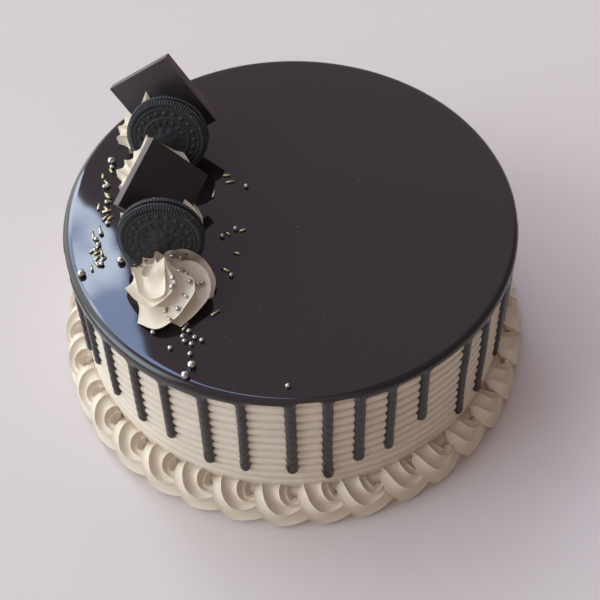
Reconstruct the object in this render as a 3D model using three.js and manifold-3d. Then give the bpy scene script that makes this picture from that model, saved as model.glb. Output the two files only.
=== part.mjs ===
// Mocha birthday cake: a round cake with combed buttercream sides, a dark mirror glaze that
// runs down in drips, a piped shell border round the foot and a row of toppings on the left.
// Millimetres, +Z up. The origin is the middle of the base, and the front of the cake faces -Y.
import * as THREE from "three";
import { mergeVertices } from "three/addons/utils/BufferGeometryUtils.js";
import Module from "manifold-3d";

// ---- Driving dimensions ----
const TOP_RADIUS = 125; // widest line of the glazed rim
const CAKE_HEIGHT = 106; // base to the level of the glazed top
const WALL_RADIUS_FOOT = 126; // crests of the combed wall, at the foot
const WALL_RADIUS_TOP = 122.2; // crests of the combed wall, under the rim
const CLEARANCE = 0.35; // gap kept between pieces that touch
const ROUND_STEPS = 40; // flats round the wall and the rim
const CUTTER = 80; // side of the blocks that cut pieces flat
const SMALLEST_DETAIL = 0.03; // slivers thinner than this are left out of cut and fused solids
const SEED = 41;

// Combed ridges: a ridge's crest runs from crestStart to crestEnd, as shares of the pitch.
const COMB = { ridges: 10, pitch: 7, depth: 1.7, firstHeight: 27, crestStart: 0.3, crestEnd: 0.75 };
// Shoulder of the wall under the glaze: in from the wall's top radius, down from the body's top.
const WALL_SHOULDER = [{ inward: 0.4, down: 4.65 }, { inward: 1.2, down: 2.2 }, { inward: 4, down: 0 }];

const GLAZE = { thickness: 2, skirtDrop: 6.5, skirtThickness: 1.2 };
// Outer side of the rim: in from the rim's radius, down from the glazed top.
const RIM_OUTSIDE = [
  { inward: 0.3, down: 5.2 }, { inward: 0, down: 3.6 }, { inward: 1.3, down: 1.2 }, { inward: 4.5, down: 0 },
];
// Inner side of the rim: in from the wall's top radius, down from the underside of the glaze.
const RIM_INSIDE = [{ inward: 3.8, down: 0 }, { inward: 0.7, down: 2.3 }];

// A drip starts in the rim, and its lower end is one of FRONT_DRIPS' or a drawn one at the back.
const DRIP = { rootOverlap: 3, rootInset: 0.8, meanStep: 10, jitter: 3, lowestEnd: 31, highestEnd: 56 };
const DRIP_CAP = 0.5; // how far the middle of a drip's two end faces stands off its flat back
const DRIP_SECTION = [[-1, 0], [-0.62, 0.86], [0.62, 0.86], [1, 0]];
const DRIP_ROOT_ROWS = [{ down: 0, half: 6.5 }, { down: 3.4, half: 6.5 }];
const DRIP_MIDDLE_ROW = { down: 9, half: 3.2, proud: 2.1 };
const DRIP_END_ROWS = [{ up: 3.4, half: 3.1, proud: 2.6 }, { up: 0.9, half: 2, proud: 1.8 }];
// The drips that the front shows: azimuth in degrees, and the height where the drip ends.
const FRONT_DRIPS = [
  [-70, 41], [-62, 49], [-53, 43], [-43, 41], [-33.6, 43], [-23.1, 34], [-13.7, 35], [-2.1, 36],
  [6.6, 28.5], [14.4, 40], [22.4, 42], [31.6, 54.5], [45.5, 29], [54.4, 29], [67, 29], [72, 45],
];

// The border's bed slopes down from the wall, and shells lie on it round the cake.
const BORDER = { shells: 36, outerRadius: 142, height: 27, slopeLength: 29, firstAzimuth: 8 };
const BED = { inset: 2.4, drop: 3, depth: 4.2 };
const BORDER_MIDDLE = BORDER.outerRadius - 6; // radius that lengths along the border are counted at
// A shell is a hooked stroke of a star nozzle, drawn by crest lines that come down from the wall,
// bend round a curl and run off to the right under the next shell. Each stop of a line is
// [along the border, down the slope, out of the bed].
const SHELL_EDGE = [
  [-19, 0, 0.2], [-21.8, 7.5, 1.8], [-18.6, 17.3, 1.9], [-11, 26.6, 1], [-1, 26.2, 0.5], [9, 23.5, -1.6],
];
const OUTER_CREST = [
  [-18.3, 0, 0.8], [-15.9, 9.3, 3.4], [-10.2, 16.5, 3.5], [-3.5, 17.8, 2.8], [3, 15.5, 1.2], [8, 12, -1.2],
];
const INNER_CREST = [
  [-7.6, 0, 0.8], [-7.9, 5.6, 2.6], [-5.5, 10.8, 3.1], [-1.5, 12.7, 2.8], [2.2, 12, 1.7], [5.5, 9.5, -0.4],
];
const SHELL_CURL = [
  [-3.6, 0.6, -1], [-3.9, 4, 0.6], [-3, 7.6, 2.1], [-1.2, 9.7, 2.1], [0.2, 9.3, 1.4], [1, 7.9, 0.5],
];
const CURL_HOLLOW = [0.5, 7.8, -3];
// Depth of the hollow outside and inside the outer crest, at the same stops.
const SHELL_HOLLOWS = { outer: [0.1, 0.5, 1, 1.3, 1.1, 0.8], inner: [1.2, 3.6, 4, 3.1, 2.3, 1.4] };
const SHELL_SKIRT = 6; // how far a shell's edge reaches down into the bed
const SHELL_CORE = { inward: 5, height: 6 };

const ROOM_STEPS = 36; // flats round the room that a cookie needs in the cream
const COOKIE = { radius: 22.4, wafer: 2.9, filling: 1.3, fillingRadius: 20.4, teeth: 24, toothDepth: 0.6 };
// A cookie and a square are placed by the middle of the front face and the way that face looks.
const COOKIES = [
  { name: "cookie_1", x: -67.4, y: -37.9, lift: 22, azimuth: 0, elevation: 11.5 },
  { name: "cookie_2", x: -67.2, y: 36.2, lift: 21.6, azimuth: -4.8, elevation: 17 },
];
const SQUARES = [
  {
    name: "chocolate_square_1", side: 39.7, thickness: 5.5,
    x: -66.3, y: -6.3, z: 131.9, azimuth: 43, elevation: 28.7, spin: 29.6,
  },
  {
    name: "chocolate_square_2", side: 44.8, thickness: 5,
    x: -69.9, y: 58.1, z: 132.1, azimuth: -18, elevation: 8, spin: 38.5,
  },
];

// A rosette is one swirl of a star nozzle with eight crests. Each crest is a line of stops
// [x, y, height] from the middle of the foot: it starts at a petal's tip on the glaze, winds
// anticlockwise and climbs to the beak in the middle.
const ROSETTE_CRESTS = [
  [
    [-22.5, 4, 0], [-22.7, 1.5, 4.5], [-16.6, -8, 7], [-8.6, -15.3, 10],
    [-3, -14.3, 12.5], [2.6, -9.5, 14.5], [4.4, -5, 16.5], [1.4, 0.4, 21],
  ],
  [
    [-16, -17.5, 0], [-5.6, -24.2, 3.5], [4.1, -20.5, 7], [9.9, -14.5, 10.3],
    [13.8, -8.5, 12.8], [13.3, -2, 14.5], [8.4, 0.8, 16.5], [2.4, 2.6, 21],
  ],
  [
    [6, -21, 0], [14.5, -15, 4], [21.1, -6, 7], [20.4, 4.5, 9.7],
    [14.5, 10.6, 12.2], [8.3, 10.8, 14], [3.6, 7.5, 16.5], [1.6, 4.8, 21],
  ],
  [
    [22.2, -2.5, 0], [23.5, 6, 4], [18.2, 16.4, 7], [10.1, 20.8, 10],
    [3, 18.8, 12.3], [-0.2, 13.4, 14.5], [-0.3, 8.8, 17], [0.5, 6, 21.5],
  ],
  [
    [11, 21, 0], [9.5, 22.6, 4], [4.4, 23, 7], [-0.3, 20.4, 10],
    [-2.6, 16, 12.5], [-3.1, 12, 15], [-2.6, 8.8, 17.5], [-1, 6.6, 21.5],
  ],
  [
    [-4.5, 24, 0], [-5.4, 24.4, 4.5], [-7.1, 21.5, 7.3], [-7, 17, 10.5],
    [-6.6, 13, 13], [-5.8, 9.6, 15.5], [-4.4, 7, 18], [-2.2, 5.6, 22],
  ],
  [
    [-13.5, 21, 0], [-13.4, 21.4, 4.5], [-13.3, 14, 7.5], [-13.8, 7, 9.5],
    [-11.4, 2.4, 12.3], [-7, 1.8, 15], [-4.7, 1.8, 18], [-2.4, 3.2, 22],
  ],
  [
    [-20.5, 15, 0], [-20.1, 15.6, 4.3], [-17.1, 4.5, 7.3], [-14, -6.5, 10],
    [-7.5, -11.8, 12], [-1.4, -10.5, 14], [-0.5, -5.5, 16], [-0.5, -0.6, 21],
  ],
];
const ROSETTE_TIP = [-0.2, 4, 26];
// Between two crests the surface is hollow: how deep for far neighbours, and the way it sinks at
// each stop, from 0 (towards the middle) to 90 (down).
const ROSETTE_HOLLOW = { deepest: 3.7, reach: 9, sink: [5, 15, 35, 60, 75, 70, 40, 15], steps: 3 };
// Size, rise, share kept of the height over the crown, and turn in degrees.
const ROSETTES = [
  { name: "rosette_1", x: -64.3, y: -56, size: 1, rise: 1, crown: 1, turn: 0, squeezed: true },
  { name: "rosette_2", x: -70.8, y: -16.4, size: 0.99, rise: 1.35, crown: 0.5, turn: 7 },
  { name: "rosette_3", x: -74.5, y: 22, size: 0.91, rise: 1.36, crown: 1, turn: 21 },
  { name: "rosette_4", x: -75.6, y: 59.6, size: 0.9, rise: 1.27, crown: 1, turn: 49 },
];
const CROWN = 14;
// Cream behind a slanting line is squeezed up the cookie behind it: how far back the line is at
// the foot, how it leans, and the way the cream moves.
const SQUEEZE = { line: 13.2, lean: 0.2, back: -0.59, up: 0.81 };
const ROSETTE_REACH = 24.5; // radius round a rosette's middle that loose sprinkles keep clear of

const ROD = { width: 1.4, shortest: 3.4, longest: 5.6 };
const PEARL = { small: 1.35, large: 2.2 };
const SUNK = { rod: 0.15, pearl: 0.25 }; // share of the width or radius that lies in the surface
const LARGE_PEARLS = [[-111, -41], [-91, -33], [-101, 40], [-52, -101], [-55, -107]];
const SMALL_PEARLS = [
  [-57, -83], [-54, -80], [-51, -84], [-56, -86], [-52.5, -88], [-47.5, -86], [-53, -94],
  [-63, -90], [-72, -80], [-5, -115], [-25, 18], [-38, -18], [-31, -13], [-33, -45], [-103, -13],
];
const LOOSE_RODS = [
  [-56, -77, 60], [-41, -69, 35], [-36, -41, -30], [-30, -30, -20], [-35, -16, -35],
  [-27, -14, 20], [-36, 27, 5], [-34, 22, 10], [-43, 13, 80],
];
// The two drifts of sprinkles on the left of the row: middle, spread and how many of each.
const DRIFTS = [
  { x: -101, y: 14, spreadX: 5.5, spreadY: 27, rods: 19, pearls: 6 },
  { x: -103, y: -26, spreadX: 5.5, spreadY: 12, rods: 9, pearls: 4 },
];
// On the front rosette, from its middle: pearls as [x, y, radius], rods as [x, y, heading].
const ROSETTE_PEARLS = [
  [2, 14.8, 1.35], [1.7, 7, 1.35], [7.8, 4.9, 1.35], [9.6, 1.8, 1.35], [3.4, -3.4, 1.35],
  [11.5, -3, 1.35], [15, -0.6, 1.35], [17.2, 0.2, 1.35], [5.2, -15.9, 1.35], [3.1, -7.2, 1.75],
];
const ROSETTE_RODS = [
  [5.8, 15.4, -35], [7.5, 11.3, 90], [6.7, 1.2, 10], [9.1, -9.5, -45], [-0.9, -14.5, 60],
  [0.9, -20.2, -35],
];

const rad = THREE.MathUtils.degToRad;
const lerp = THREE.MathUtils.lerp;
const tau = 2 * Math.PI;

const wasm = await Module();
wasm.setup();

// ---- Materials ----
function finish(color, roughness, metalness = 0) {
  return new THREE.MeshStandardMaterial({ color, roughness, metalness });
}
const materials = {
  buttercream: finish(0xc9baa6, 0.75),
  glaze: finish(0x2b2226, 0.08),
  piping: finish(0xcdbfac, 0.7),
  wafer: finish(0x22201f, 0.7),
  filling: finish(0x1d1a19, 0.6),
  chocolate: finish(0x33262a, 0.4),
};

// ---- Shared geometry helpers ----
// Repeatable draws between 0 and 1.
function seededDraws(seed) {
  let state = seed >>> 0;
  return () => {
    state = (state + 0x6d2b79f5) >>> 0;
    let t = Math.imul(state ^ (state >>> 15), 1 | state);
    t = (t + Math.imul(t ^ (t >>> 7), 61 | t)) ^ t;
    return ((t ^ (t >>> 14)) >>> 0) / 4294967296;
  };
}

// A point at an azimuth counted from the front (-Y), positive towards +X.
function around(azimuth, radius, z) {
  return new THREE.Vector3(radius * Math.sin(azimuth), -radius * Math.cos(azimuth), z);
}

function geometryFrom(points, triangles) {
  const geometry = new THREE.BufferGeometry().setFromPoints(points);
  geometry.setIndex(triangles);
  return geometry;
}

// Joins rings of equal length into a closed solid, with a fan to the middle of each end ring.
function loft(rings, startPoint, endPoint) {
  const count = rings[0].length;
  const points = rings.flat();
  const triangles = [];
  for (let i = 0; i + 1 < rings.length; i++) {
    for (let j = 0; j < count; j++) {
      const a = i * count + j;
      const b = i * count + ((j + 1) % count);
      triangles.push(a, b, b + count, a, b + count, a + count);
    }
  }
  const start = points.push(startPoint) - 1;
  const end = points.push(endPoint) - 1;
  const last = (rings.length - 1) * count;
  for (let j = 0; j < count; j++) {
    const next = (j + 1) % count;
    triangles.push(start, next, j, end, last + j, last + next);
  }
  return geometryFrom(points, triangles);
}

// A solid of revolution about Z from [radius, height] pairs that start and end on the axis.
function turned(profile, segments) {
  const points = profile.map(([radius, height]) => new THREE.Vector2(radius, height));
  return new THREE.LatheGeometry(points, segments).rotateX(Math.PI / 2);
}

function toSolid(geometry) {
  const bare = geometry.clone();
  bare.deleteAttribute("normal");
  bare.deleteAttribute("uv");
  const merged = mergeVertices(bare, 1e-4);
  const vertProperties = new Float32Array(merged.attributes.position.array);
  const triVerts = new Uint32Array(merged.index.array);
  const solid = new wasm.Manifold(new wasm.Mesh({ numProp: 3, vertProperties, triVerts }));
  if (solid.volume() > 0) return solid;
  for (let i = 0; i < triVerts.length; i += 3) {
    [triVerts[i + 1], triVerts[i + 2]] = [triVerts[i + 2], triVerts[i + 1]];
  }
  return new wasm.Manifold(new wasm.Mesh({ numProp: 3, vertProperties, triVerts }));
}

function toGeometry(solid) {
  const { vertProperties, triVerts, numProp } = solid.getMesh();
  const points = [];
  for (let i = 0; i < vertProperties.length; i += numProp) {
    points.push(new THREE.Vector3().fromArray(vertProperties, i));
  }
  return geometryFrom(points, Array.from(triVerts));
}

// Adds solids two by two, and keeps the main body of the result.
function fuse(solids) {
  let row = solids;
  while (row.length > 1) {
    const joined = [];
    for (let i = 0; i < row.length; i += 2) {
      joined.push(i + 1 < row.length ? row[i].add(row[i + 1]) : row[i]);
    }
    row = joined;
  }
  return mainBody(row[0]);
}

// The largest body of a solid, as one surface without slivers.
function mainBody(solid) {
  const bodies = solid.asOriginal().simplify(SMALLEST_DETAIL).decompose();
  return bodies.reduce((best, body) => (body.volume() > best.volume() ? body : best));
}

function named(name, geometry, material) {
  const mesh = new THREE.Mesh(geometry, material);
  mesh.name = name;
  return mesh;
}

// ---- Combed wall ----
function wallRadius(z) {
  return lerp(WALL_RADIUS_FOOT, WALL_RADIUS_TOP, z / CAKE_HEIGHT);
}

// The comb leaves rounded ridges: each has a crest, and meets the next one in a narrow groove.
function combedProfile() {
  const profile = [[0, 0], [WALL_RADIUS_FOOT, 0]];
  for (let i = 0; i < COMB.ridges; i++) {
    const groove = COMB.firstHeight + i * COMB.pitch;
    profile.push([wallRadius(groove) - COMB.depth, groove]);
    profile.push([wallRadius(groove), groove + COMB.pitch * COMB.crestStart]);
    profile.push([wallRadius(groove), groove + COMB.pitch * COMB.crestEnd]);
  }
  const top = CAKE_HEIGHT - GLAZE.thickness - CLEARANCE;
  for (const { inward, down } of WALL_SHOULDER) profile.push([WALL_RADIUS_TOP - inward, top - down]);
  profile.push([0, top]);
  return profile;
}

function cakeBody() {
  return named("cake_body", turned(combedProfile(), ROUND_STEPS), materials.buttercream);
}

// ---- Glaze: cap, drips and sprinkles ----
function glazeCap() {
  const inside = CAKE_HEIGHT - GLAZE.thickness;
  const skirt = CAKE_HEIGHT - GLAZE.skirtDrop;
  const profile = [[0, inside]];
  for (const { inward, down } of RIM_INSIDE) profile.push([WALL_RADIUS_TOP - inward, inside - down]);
  profile.push([wallRadius(skirt) + CLEARANCE, skirt]);
  profile.push([wallRadius(skirt) + GLAZE.skirtThickness, skirt]);
  for (const { inward, down } of RIM_OUTSIDE) profile.push([TOP_RADIUS - inward, CAKE_HEIGHT - down]);
  profile.push([0, CAKE_HEIGHT]);
  return turned(profile, ROUND_STEPS);
}

// The same habit carried round the back: a drip about every ten degrees, of uneven length.
function allDrips() {
  const draw = seededDraws(SEED);
  const first = FRONT_DRIPS.at(-1)[0];
  const gap = 360 + FRONT_DRIPS[0][0] - first;
  const count = Math.round(gap / DRIP.meanStep) - 1;
  const back = [];
  for (let i = 1; i <= count; i++) {
    const azimuth = first + (gap * i) / (count + 1) + (draw() - 0.5) * DRIP.jitter;
    back.push([azimuth, lerp(DRIP.lowestEnd, DRIP.highestEnd, draw())]);
  }
  return FRONT_DRIPS.concat(back);
}

// A drip is a flat-backed hump: wide where it leaves the rim, slim below, with a fuller round end.
function dripSolid([azimuthDegrees, lowerEnd]) {
  const azimuth = rad(azimuthDegrees);
  const top = CAKE_HEIGHT - GLAZE.skirtDrop + DRIP.rootOverlap;
  const back = (z) => wallRadius(z) + CLEARANCE;
  const row = (z, half, depth) =>
    DRIP_SECTION.map(([s, n]) => around(azimuth + (s * half) / back(z), back(z) + n * depth, z));
  const rings = [
    ...DRIP_ROOT_ROWS.map(({ down, half }) =>
      row(top - down, half, TOP_RADIUS - DRIP.rootInset - back(top - down)),
    ),
    row(top - DRIP_MIDDLE_ROW.down, DRIP_MIDDLE_ROW.half, DRIP_MIDDLE_ROW.proud),
    ...DRIP_END_ROWS.map(({ up, half, proud }) => row(lowerEnd + up, half, proud)),
  ];
  const tip = around(azimuth, back(lowerEnd) + DRIP_CAP, lowerEnd);
  const root = around(azimuth, back(top) + DRIP_CAP, top);
  return toSolid(loft(rings, root, tip));
}

// ---- Sprinkles: gold rods and silver pearls ----
function rodSolid(x, y, surface, heading, length) {
  const shape = new THREE.BoxGeometry(length, ROD.width, ROD.width);
  const height = surface + ROD.width * (0.5 - SUNK.rod);
  return toSolid(shape.rotateZ(heading).translate(x, y, height));
}

function pearlSolid(x, y, surface, radius) {
  const shape = radius > PEARL.small
    ? new THREE.IcosahedronGeometry(radius, 0)
    : new THREE.OctahedronGeometry(radius, 0);
  return toSolid(shape.translate(x, y, surface + radius * (1 - SUNK.pearl)));
}

function looseSprinkles() {
  const draw = seededDraws(SEED + 1);
  const onTop = [];
  for (const drift of DRIFTS) {
    for (let i = 0; i < drift.rods + drift.pearls; i++) {
      const x = drift.x + (draw() + draw() - 1) * drift.spreadX;
      const y = drift.y + (draw() * 2 - 1) * drift.spreadY;
      const heading = draw() * Math.PI;
      const length = lerp(ROD.shortest, ROD.longest, draw());
      if (!clearOfToppings(x, y)) continue;
      if (i < drift.rods) onTop.push(rodSolid(x, y, CAKE_HEIGHT, heading, length));
      else onTop.push(pearlSolid(x, y, CAKE_HEIGHT, PEARL.small));
    }
  }
  for (const [x, y, degrees] of LOOSE_RODS) {
    onTop.push(rodSolid(x, y, CAKE_HEIGHT, rad(degrees), lerp(ROD.shortest, ROD.longest, draw())));
  }
  for (const [x, y] of LARGE_PEARLS) onTop.push(pearlSolid(x, y, CAKE_HEIGHT, PEARL.large));
  for (const [x, y] of SMALL_PEARLS) onTop.push(pearlSolid(x, y, CAKE_HEIGHT, PEARL.small));
  return onTop;
}

function clearOfToppings(x, y) {
  const reach = ROSETTE_REACH + ROD.longest / 2 + CLEARANCE;
  return ROSETTES.every((one) => Math.hypot(x - one.x, y - one.y) > reach);
}

function chocolateGlaze() {
  const pieces = [toSolid(glazeCap()), ...allDrips().map(dripSolid), ...looseSprinkles()];
  return named("chocolate_glaze", toGeometry(fuse(pieces)), materials.glaze);
}

// ---- Piped border round the foot ----
// A point on the border's rounded slope: slope is 0 at the wall, and out stands off the bed.
function slopePoint(azimuth, slope, out) {
  const tilt = (slope / BORDER.slopeLength) * (Math.PI / 2);
  const width = BORDER.outerRadius - BED.inset - WALL_RADIUS_FOOT - CLEARANCE + out;
  const radius = WALL_RADIUS_FOOT + CLEARANCE + width * Math.sin(tilt);
  return around(azimuth, radius, Math.max(0, (BORDER.height - BED.drop + out) * Math.cos(tilt)));
}

// The middle of the surface between two crests, sunk by the hollow's depth.
function hollowBetween(first, second, depth) {
  return first.map((value, i) => (value + second[i]) / 2 - (i === 2 ? depth : 0));
}

// The section of a shell at one stop, from the foot of its edge in to the middle of the curl.
function shellSection(stop) {
  const [edge, outer, inner] = [SHELL_EDGE[stop], OUTER_CREST[stop], INNER_CREST[stop]];
  return [
    [edge[0], edge[1], edge[2] - SHELL_SKIRT],
    edge,
    hollowBetween(edge, outer, SHELL_HOLLOWS.outer[stop]),
    outer,
    hollowBetween(outer, inner, SHELL_HOLLOWS.inner[stop]),
    inner,
    SHELL_CURL[stop],
    CURL_HOLLOW,
  ];
}

function shellSolid(middle) {
  const core = around(middle, WALL_RADIUS_FOOT + SHELL_CORE.inward, SHELL_CORE.height);
  const sections = SHELL_EDGE.map((_, stop) => [
    ...shellSection(stop).map(([along, slope, out]) => {
      const held = THREE.MathUtils.clamp(slope, 0, BORDER.slopeLength);
      return slopePoint(middle + along / BORDER_MIDDLE, held, out);
    }),
    core,
  ]);
  const count = sections[0].length;
  const points = sections.flat();
  const triangles = [];
  for (let i = 0; i + 1 < sections.length; i++) {
    for (let j = 0; j < count; j++) {
      const low = i * count + j;
      const high = i * count + ((j + 1) % count);
      triangles.push(low, high, high + count, low, high + count, low + count);
    }
  }
  const end = (sections.length - 1) * count;
  for (let j = 0; j + 2 < count; j++) {
    triangles.push(count - 1, j + 1, j, end + count - 1, end + j, end + j + 1);
  }
  return toSolid(geometryFrom(points, triangles));
}

// The plain ring of cream under the shells.
function borderBed() {
  const inner = WALL_RADIUS_FOOT + CLEARANCE;
  const profile = [[inner, 0]];
  for (let slope = BORDER.slopeLength; slope >= 0; slope -= BORDER.slopeLength / 2) {
    const at = slopePoint(0, slope, -BED.depth);
    profile.push([-at.y, at.z]);
  }
  profile.push([inner, 0]);
  return toSolid(turned(profile, ROUND_STEPS));
}

function pipedBorder() {
  const shells = Array.from({ length: BORDER.shells }, (_, i) =>
    shellSolid(rad(BORDER.firstAzimuth) + (i * tau) / BORDER.shells),
  );
  return named("piped_border", toGeometry(fuse([borderBed(), ...shells])), materials.piping);
}

// ---- Toppings ----
function facing(azimuthDegrees, elevationDegrees) {
  const elevation = rad(elevationDegrees);
  return around(rad(azimuthDegrees), Math.cos(elevation), Math.sin(elevation));
}

// Turns a geometry whose front face is +Z so that it looks along normal, with its top upwards.
function stand(geometry, normal, spin, middle) {
  const side = new THREE.Vector3(0, 0, 1).cross(normal).normalize();
  const upward = normal.clone().cross(side);
  const frame = new THREE.Matrix4().makeBasis(side, upward, normal);
  return geometry.rotateZ(spin).applyMatrix4(frame).translate(middle.x, middle.y, middle.z);
}

// The outline of an embossed wafer: low teeth round the edge.
function waferGeometry() {
  const outline = new THREE.Shape();
  for (let i = 0; i < COOKIE.teeth * 2; i++) {
    const radius = COOKIE.radius - (i % 2 ? COOKIE.toothDepth : 0);
    const angle = (i * tau) / (COOKIE.teeth * 2);
    const point = [radius * Math.cos(angle), radius * Math.sin(angle)];
    if (i) outline.lineTo(...point);
    else outline.moveTo(...point);
  }
  const depth = COOKIE.wafer;
  return new THREE.ExtrudeGeometry(outline, { depth, bevelEnabled: false }).translate(0, 0, -depth);
}

function placeCookie(cookie, geometry) {
  const middle = new THREE.Vector3(cookie.x, cookie.y, CAKE_HEIGHT + cookie.lift);
  return stand(geometry, facing(cookie.azimuth, cookie.elevation), 0, middle);
}

function cookieParts(cookie) {
  const group = new THREE.Group();
  const fillingBack = COOKIE.wafer + CLEARANCE + COOKIE.filling;
  const fillingMiddle = -(fillingBack - COOKIE.filling / 2);
  const backFace = -(fillingBack + CLEARANCE);
  const filling = new THREE.CylinderGeometry(
    COOKIE.fillingRadius, COOKIE.fillingRadius, COOKIE.filling, COOKIE.teeth,
  ).rotateX(Math.PI / 2).translate(0, 0, fillingMiddle);
  const front = aboveGlaze(toSolid(placeCookie(cookie, waferGeometry())));
  const backWafer = waferGeometry().translate(0, 0, backFace);
  const back = aboveGlaze(toSolid(placeCookie(cookie, backWafer)));
  group.add(named(cookie.name + "_front_wafer", toGeometry(front), materials.wafer));
  group.add(named(cookie.name + "_filling", placeCookie(cookie, filling), materials.filling));
  group.add(named(cookie.name + "_back_wafer", toGeometry(back), materials.wafer));
  return group;
}

// The room that a cookie needs in the cream round it.
function cookieRoom(cookie) {
  const thickness = 2 * (COOKIE.wafer + CLEARANCE) + COOKIE.filling + 2 * CLEARANCE;
  const radius = (COOKIE.radius + CLEARANCE) / Math.cos(Math.PI / ROOM_STEPS);
  const room = new THREE.CylinderGeometry(radius, radius, thickness, ROOM_STEPS).rotateX(Math.PI / 2);
  return toSolid(placeCookie(cookie, room.translate(0, 0, CLEARANCE - thickness / 2)));
}

function squareGeometry(square, grow = 0) {
  const side = square.side + 2 * grow;
  const shape = new THREE.BoxGeometry(side, side, square.thickness + 2 * grow);
  shape.translate(0, 0, -square.thickness / 2);
  const middle = new THREE.Vector3(square.x, square.y, square.z);
  return stand(shape, facing(square.azimuth, square.elevation), rad(square.spin), middle);
}

// What stays above the glaze, for a piece whose hidden end is pushed into the cream.
function aboveGlaze(solid) {
  const slab = new THREE.BoxGeometry(CUTTER, CUTTER, CUTTER);
  const reach = solid.boundingBox();
  const x = (reach.min[0] + reach.max[0]) / 2;
  const y = (reach.min[1] + reach.max[1]) / 2;
  return solid.subtract(toSolid(slab.translate(x, y, CAKE_HEIGHT + CLEARANCE - CUTTER / 2)));
}

function chocolateSquare(square) {
  const solid = mainBody(aboveGlaze(toSolid(squareGeometry(square))));
  return named(square.name, toGeometry(solid), materials.chocolate);
}

// A point of a rosette: crest counts round it, with the hollows between whole numbers, and stop
// counts from the foot to the tip.
function rosettePoint(one, crest, stop) {
  const first = new THREE.Vector3(...ROSETTE_CRESTS[Math.floor(crest)][stop]);
  const second = new THREE.Vector3(...ROSETTE_CRESTS[(Math.floor(crest) + 1) % ROSETTE_CRESTS.length][stop]);
  const share = crest % 1;
  const { deepest, reach, sink } = ROSETTE_HOLLOW;
  const depth = deepest * (1 - Math.exp(-first.distanceTo(second) / reach)) * Math.sin(Math.PI * share);
  const point = first.lerp(second, share);
  const fall = rad(sink[stop]);
  const level = Math.hypot(point.x, point.y);
  const pull = 1 - (depth * Math.cos(fall)) / level;
  const at = [point.x * pull, point.y * pull, Math.max(0, point.z - depth * Math.sin(fall))];
  return placeInRosette(one, at);
}

function placeInRosette(one, [x, y, z]) {
  const height = z - Math.max(z - CROWN, 0) * (1 - one.crown);
  const behind = one.squeezed ? Math.max(y - SQUEEZE.line - SQUEEZE.lean * height, 0) : 0;
  const move = behind / (SQUEEZE.lean * SQUEEZE.up - SQUEEZE.back);
  const flat = new THREE.Vector2(x, y + SQUEEZE.back * move).multiplyScalar(one.size);
  flat.rotateAround(new THREE.Vector2(), rad(one.turn));
  const top = CAKE_HEIGHT + CLEARANCE + (height + SQUEEZE.up * move) * one.rise;
  return new THREE.Vector3(one.x + flat.x, one.y + flat.y, top);
}

function rosetteSolid(one) {
  const { steps } = ROSETTE_HOLLOW;
  const count = ROSETTE_CRESTS.length * steps;
  const rings = ROSETTE_HOLLOW.sink.map((_, stop) =>
    Array.from({ length: count }, (_, i) => rosettePoint(one, i / steps, stop)),
  );
  return toSolid(loft(rings, placeInRosette(one, [0, 0, 0]), placeInRosette(one, ROSETTE_TIP)));
}

// Neighbours in the row press flat against each other halfway between their middles.
function pressedFlat(solid, one, other) {
  const from = new THREE.Vector2(one.x, one.y);
  const to = new THREE.Vector2(other.x, other.y);
  const apart = from.distanceTo(to);
  const block = new THREE.BoxGeometry(CUTTER, CUTTER, CUTTER);
  block.translate(apart / 2 - CLEARANCE / 2 + CUTTER / 2, 0, 0);
  block.rotateZ(to.clone().sub(from).angle()).translate(one.x, one.y, CAKE_HEIGHT);
  return solid.subtract(toSolid(block));
}

// Sprinkles that lie on the front rosette, each on the surface under its place.
function rosetteSprinkles(one, solid) {
  const cream = new THREE.Mesh(toGeometry(solid), new THREE.MeshBasicMaterial({ side: THREE.DoubleSide }));
  const down = new THREE.Vector3(0, 0, -1);
  const surface = (x, y) => {
    const from = new THREE.Vector3(x, y, CAKE_HEIGHT + CUTTER);
    return new THREE.Raycaster(from, down).intersectObject(cream)[0].point.z;
  };
  const pearls = ROSETTE_PEARLS.map(([dx, dy, radius]) => {
    const [x, y] = [one.x + dx, one.y + dy];
    return pearlSolid(x, y, surface(x, y), radius);
  });
  const rods = ROSETTE_RODS.map(([dx, dy, heading]) => {
    const [x, y] = [one.x + dx, one.y + dy];
    return rodSolid(x, y, surface(x, y), rad(heading), ROD.shortest);
  });
  return [...pearls, ...rods];
}

function rosette(one, index) {
  let solid = rosetteSolid(one);
  if (index === 0) solid = fuse([solid, ...rosetteSprinkles(one, solid)]);
  if (index > 0) solid = pressedFlat(solid, one, ROSETTES[index - 1]);
  if (index + 1 < ROSETTES.length) solid = pressedFlat(solid, one, ROSETTES[index + 1]);
  for (const cookie of COOKIES) solid = solid.subtract(cookieRoom(cookie));
  for (const square of SQUARES) {
    solid = solid.subtract(toSolid(squareGeometry(square, CLEARANCE)));
  }
  return named(one.name, toGeometry(mainBody(solid)), materials.piping);
}

// ---- The whole cake ----
const cake = new THREE.Group();
cake.add(cakeBody(), chocolateGlaze(), pipedBorder());
cake.add(...ROSETTES.map(rosette));
cake.add(...COOKIES.map(cookieParts));
cake.add(...SQUARES.map(chocolateSquare));

export default cake;
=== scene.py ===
import math

import bmesh
import bpy
import numpy as np
from bpy.props import FloatProperty, FloatVectorProperty, IntProperty, PointerProperty
from mathutils import Matrix, Vector
from mathutils.bvhtree import BVHTree


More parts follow.
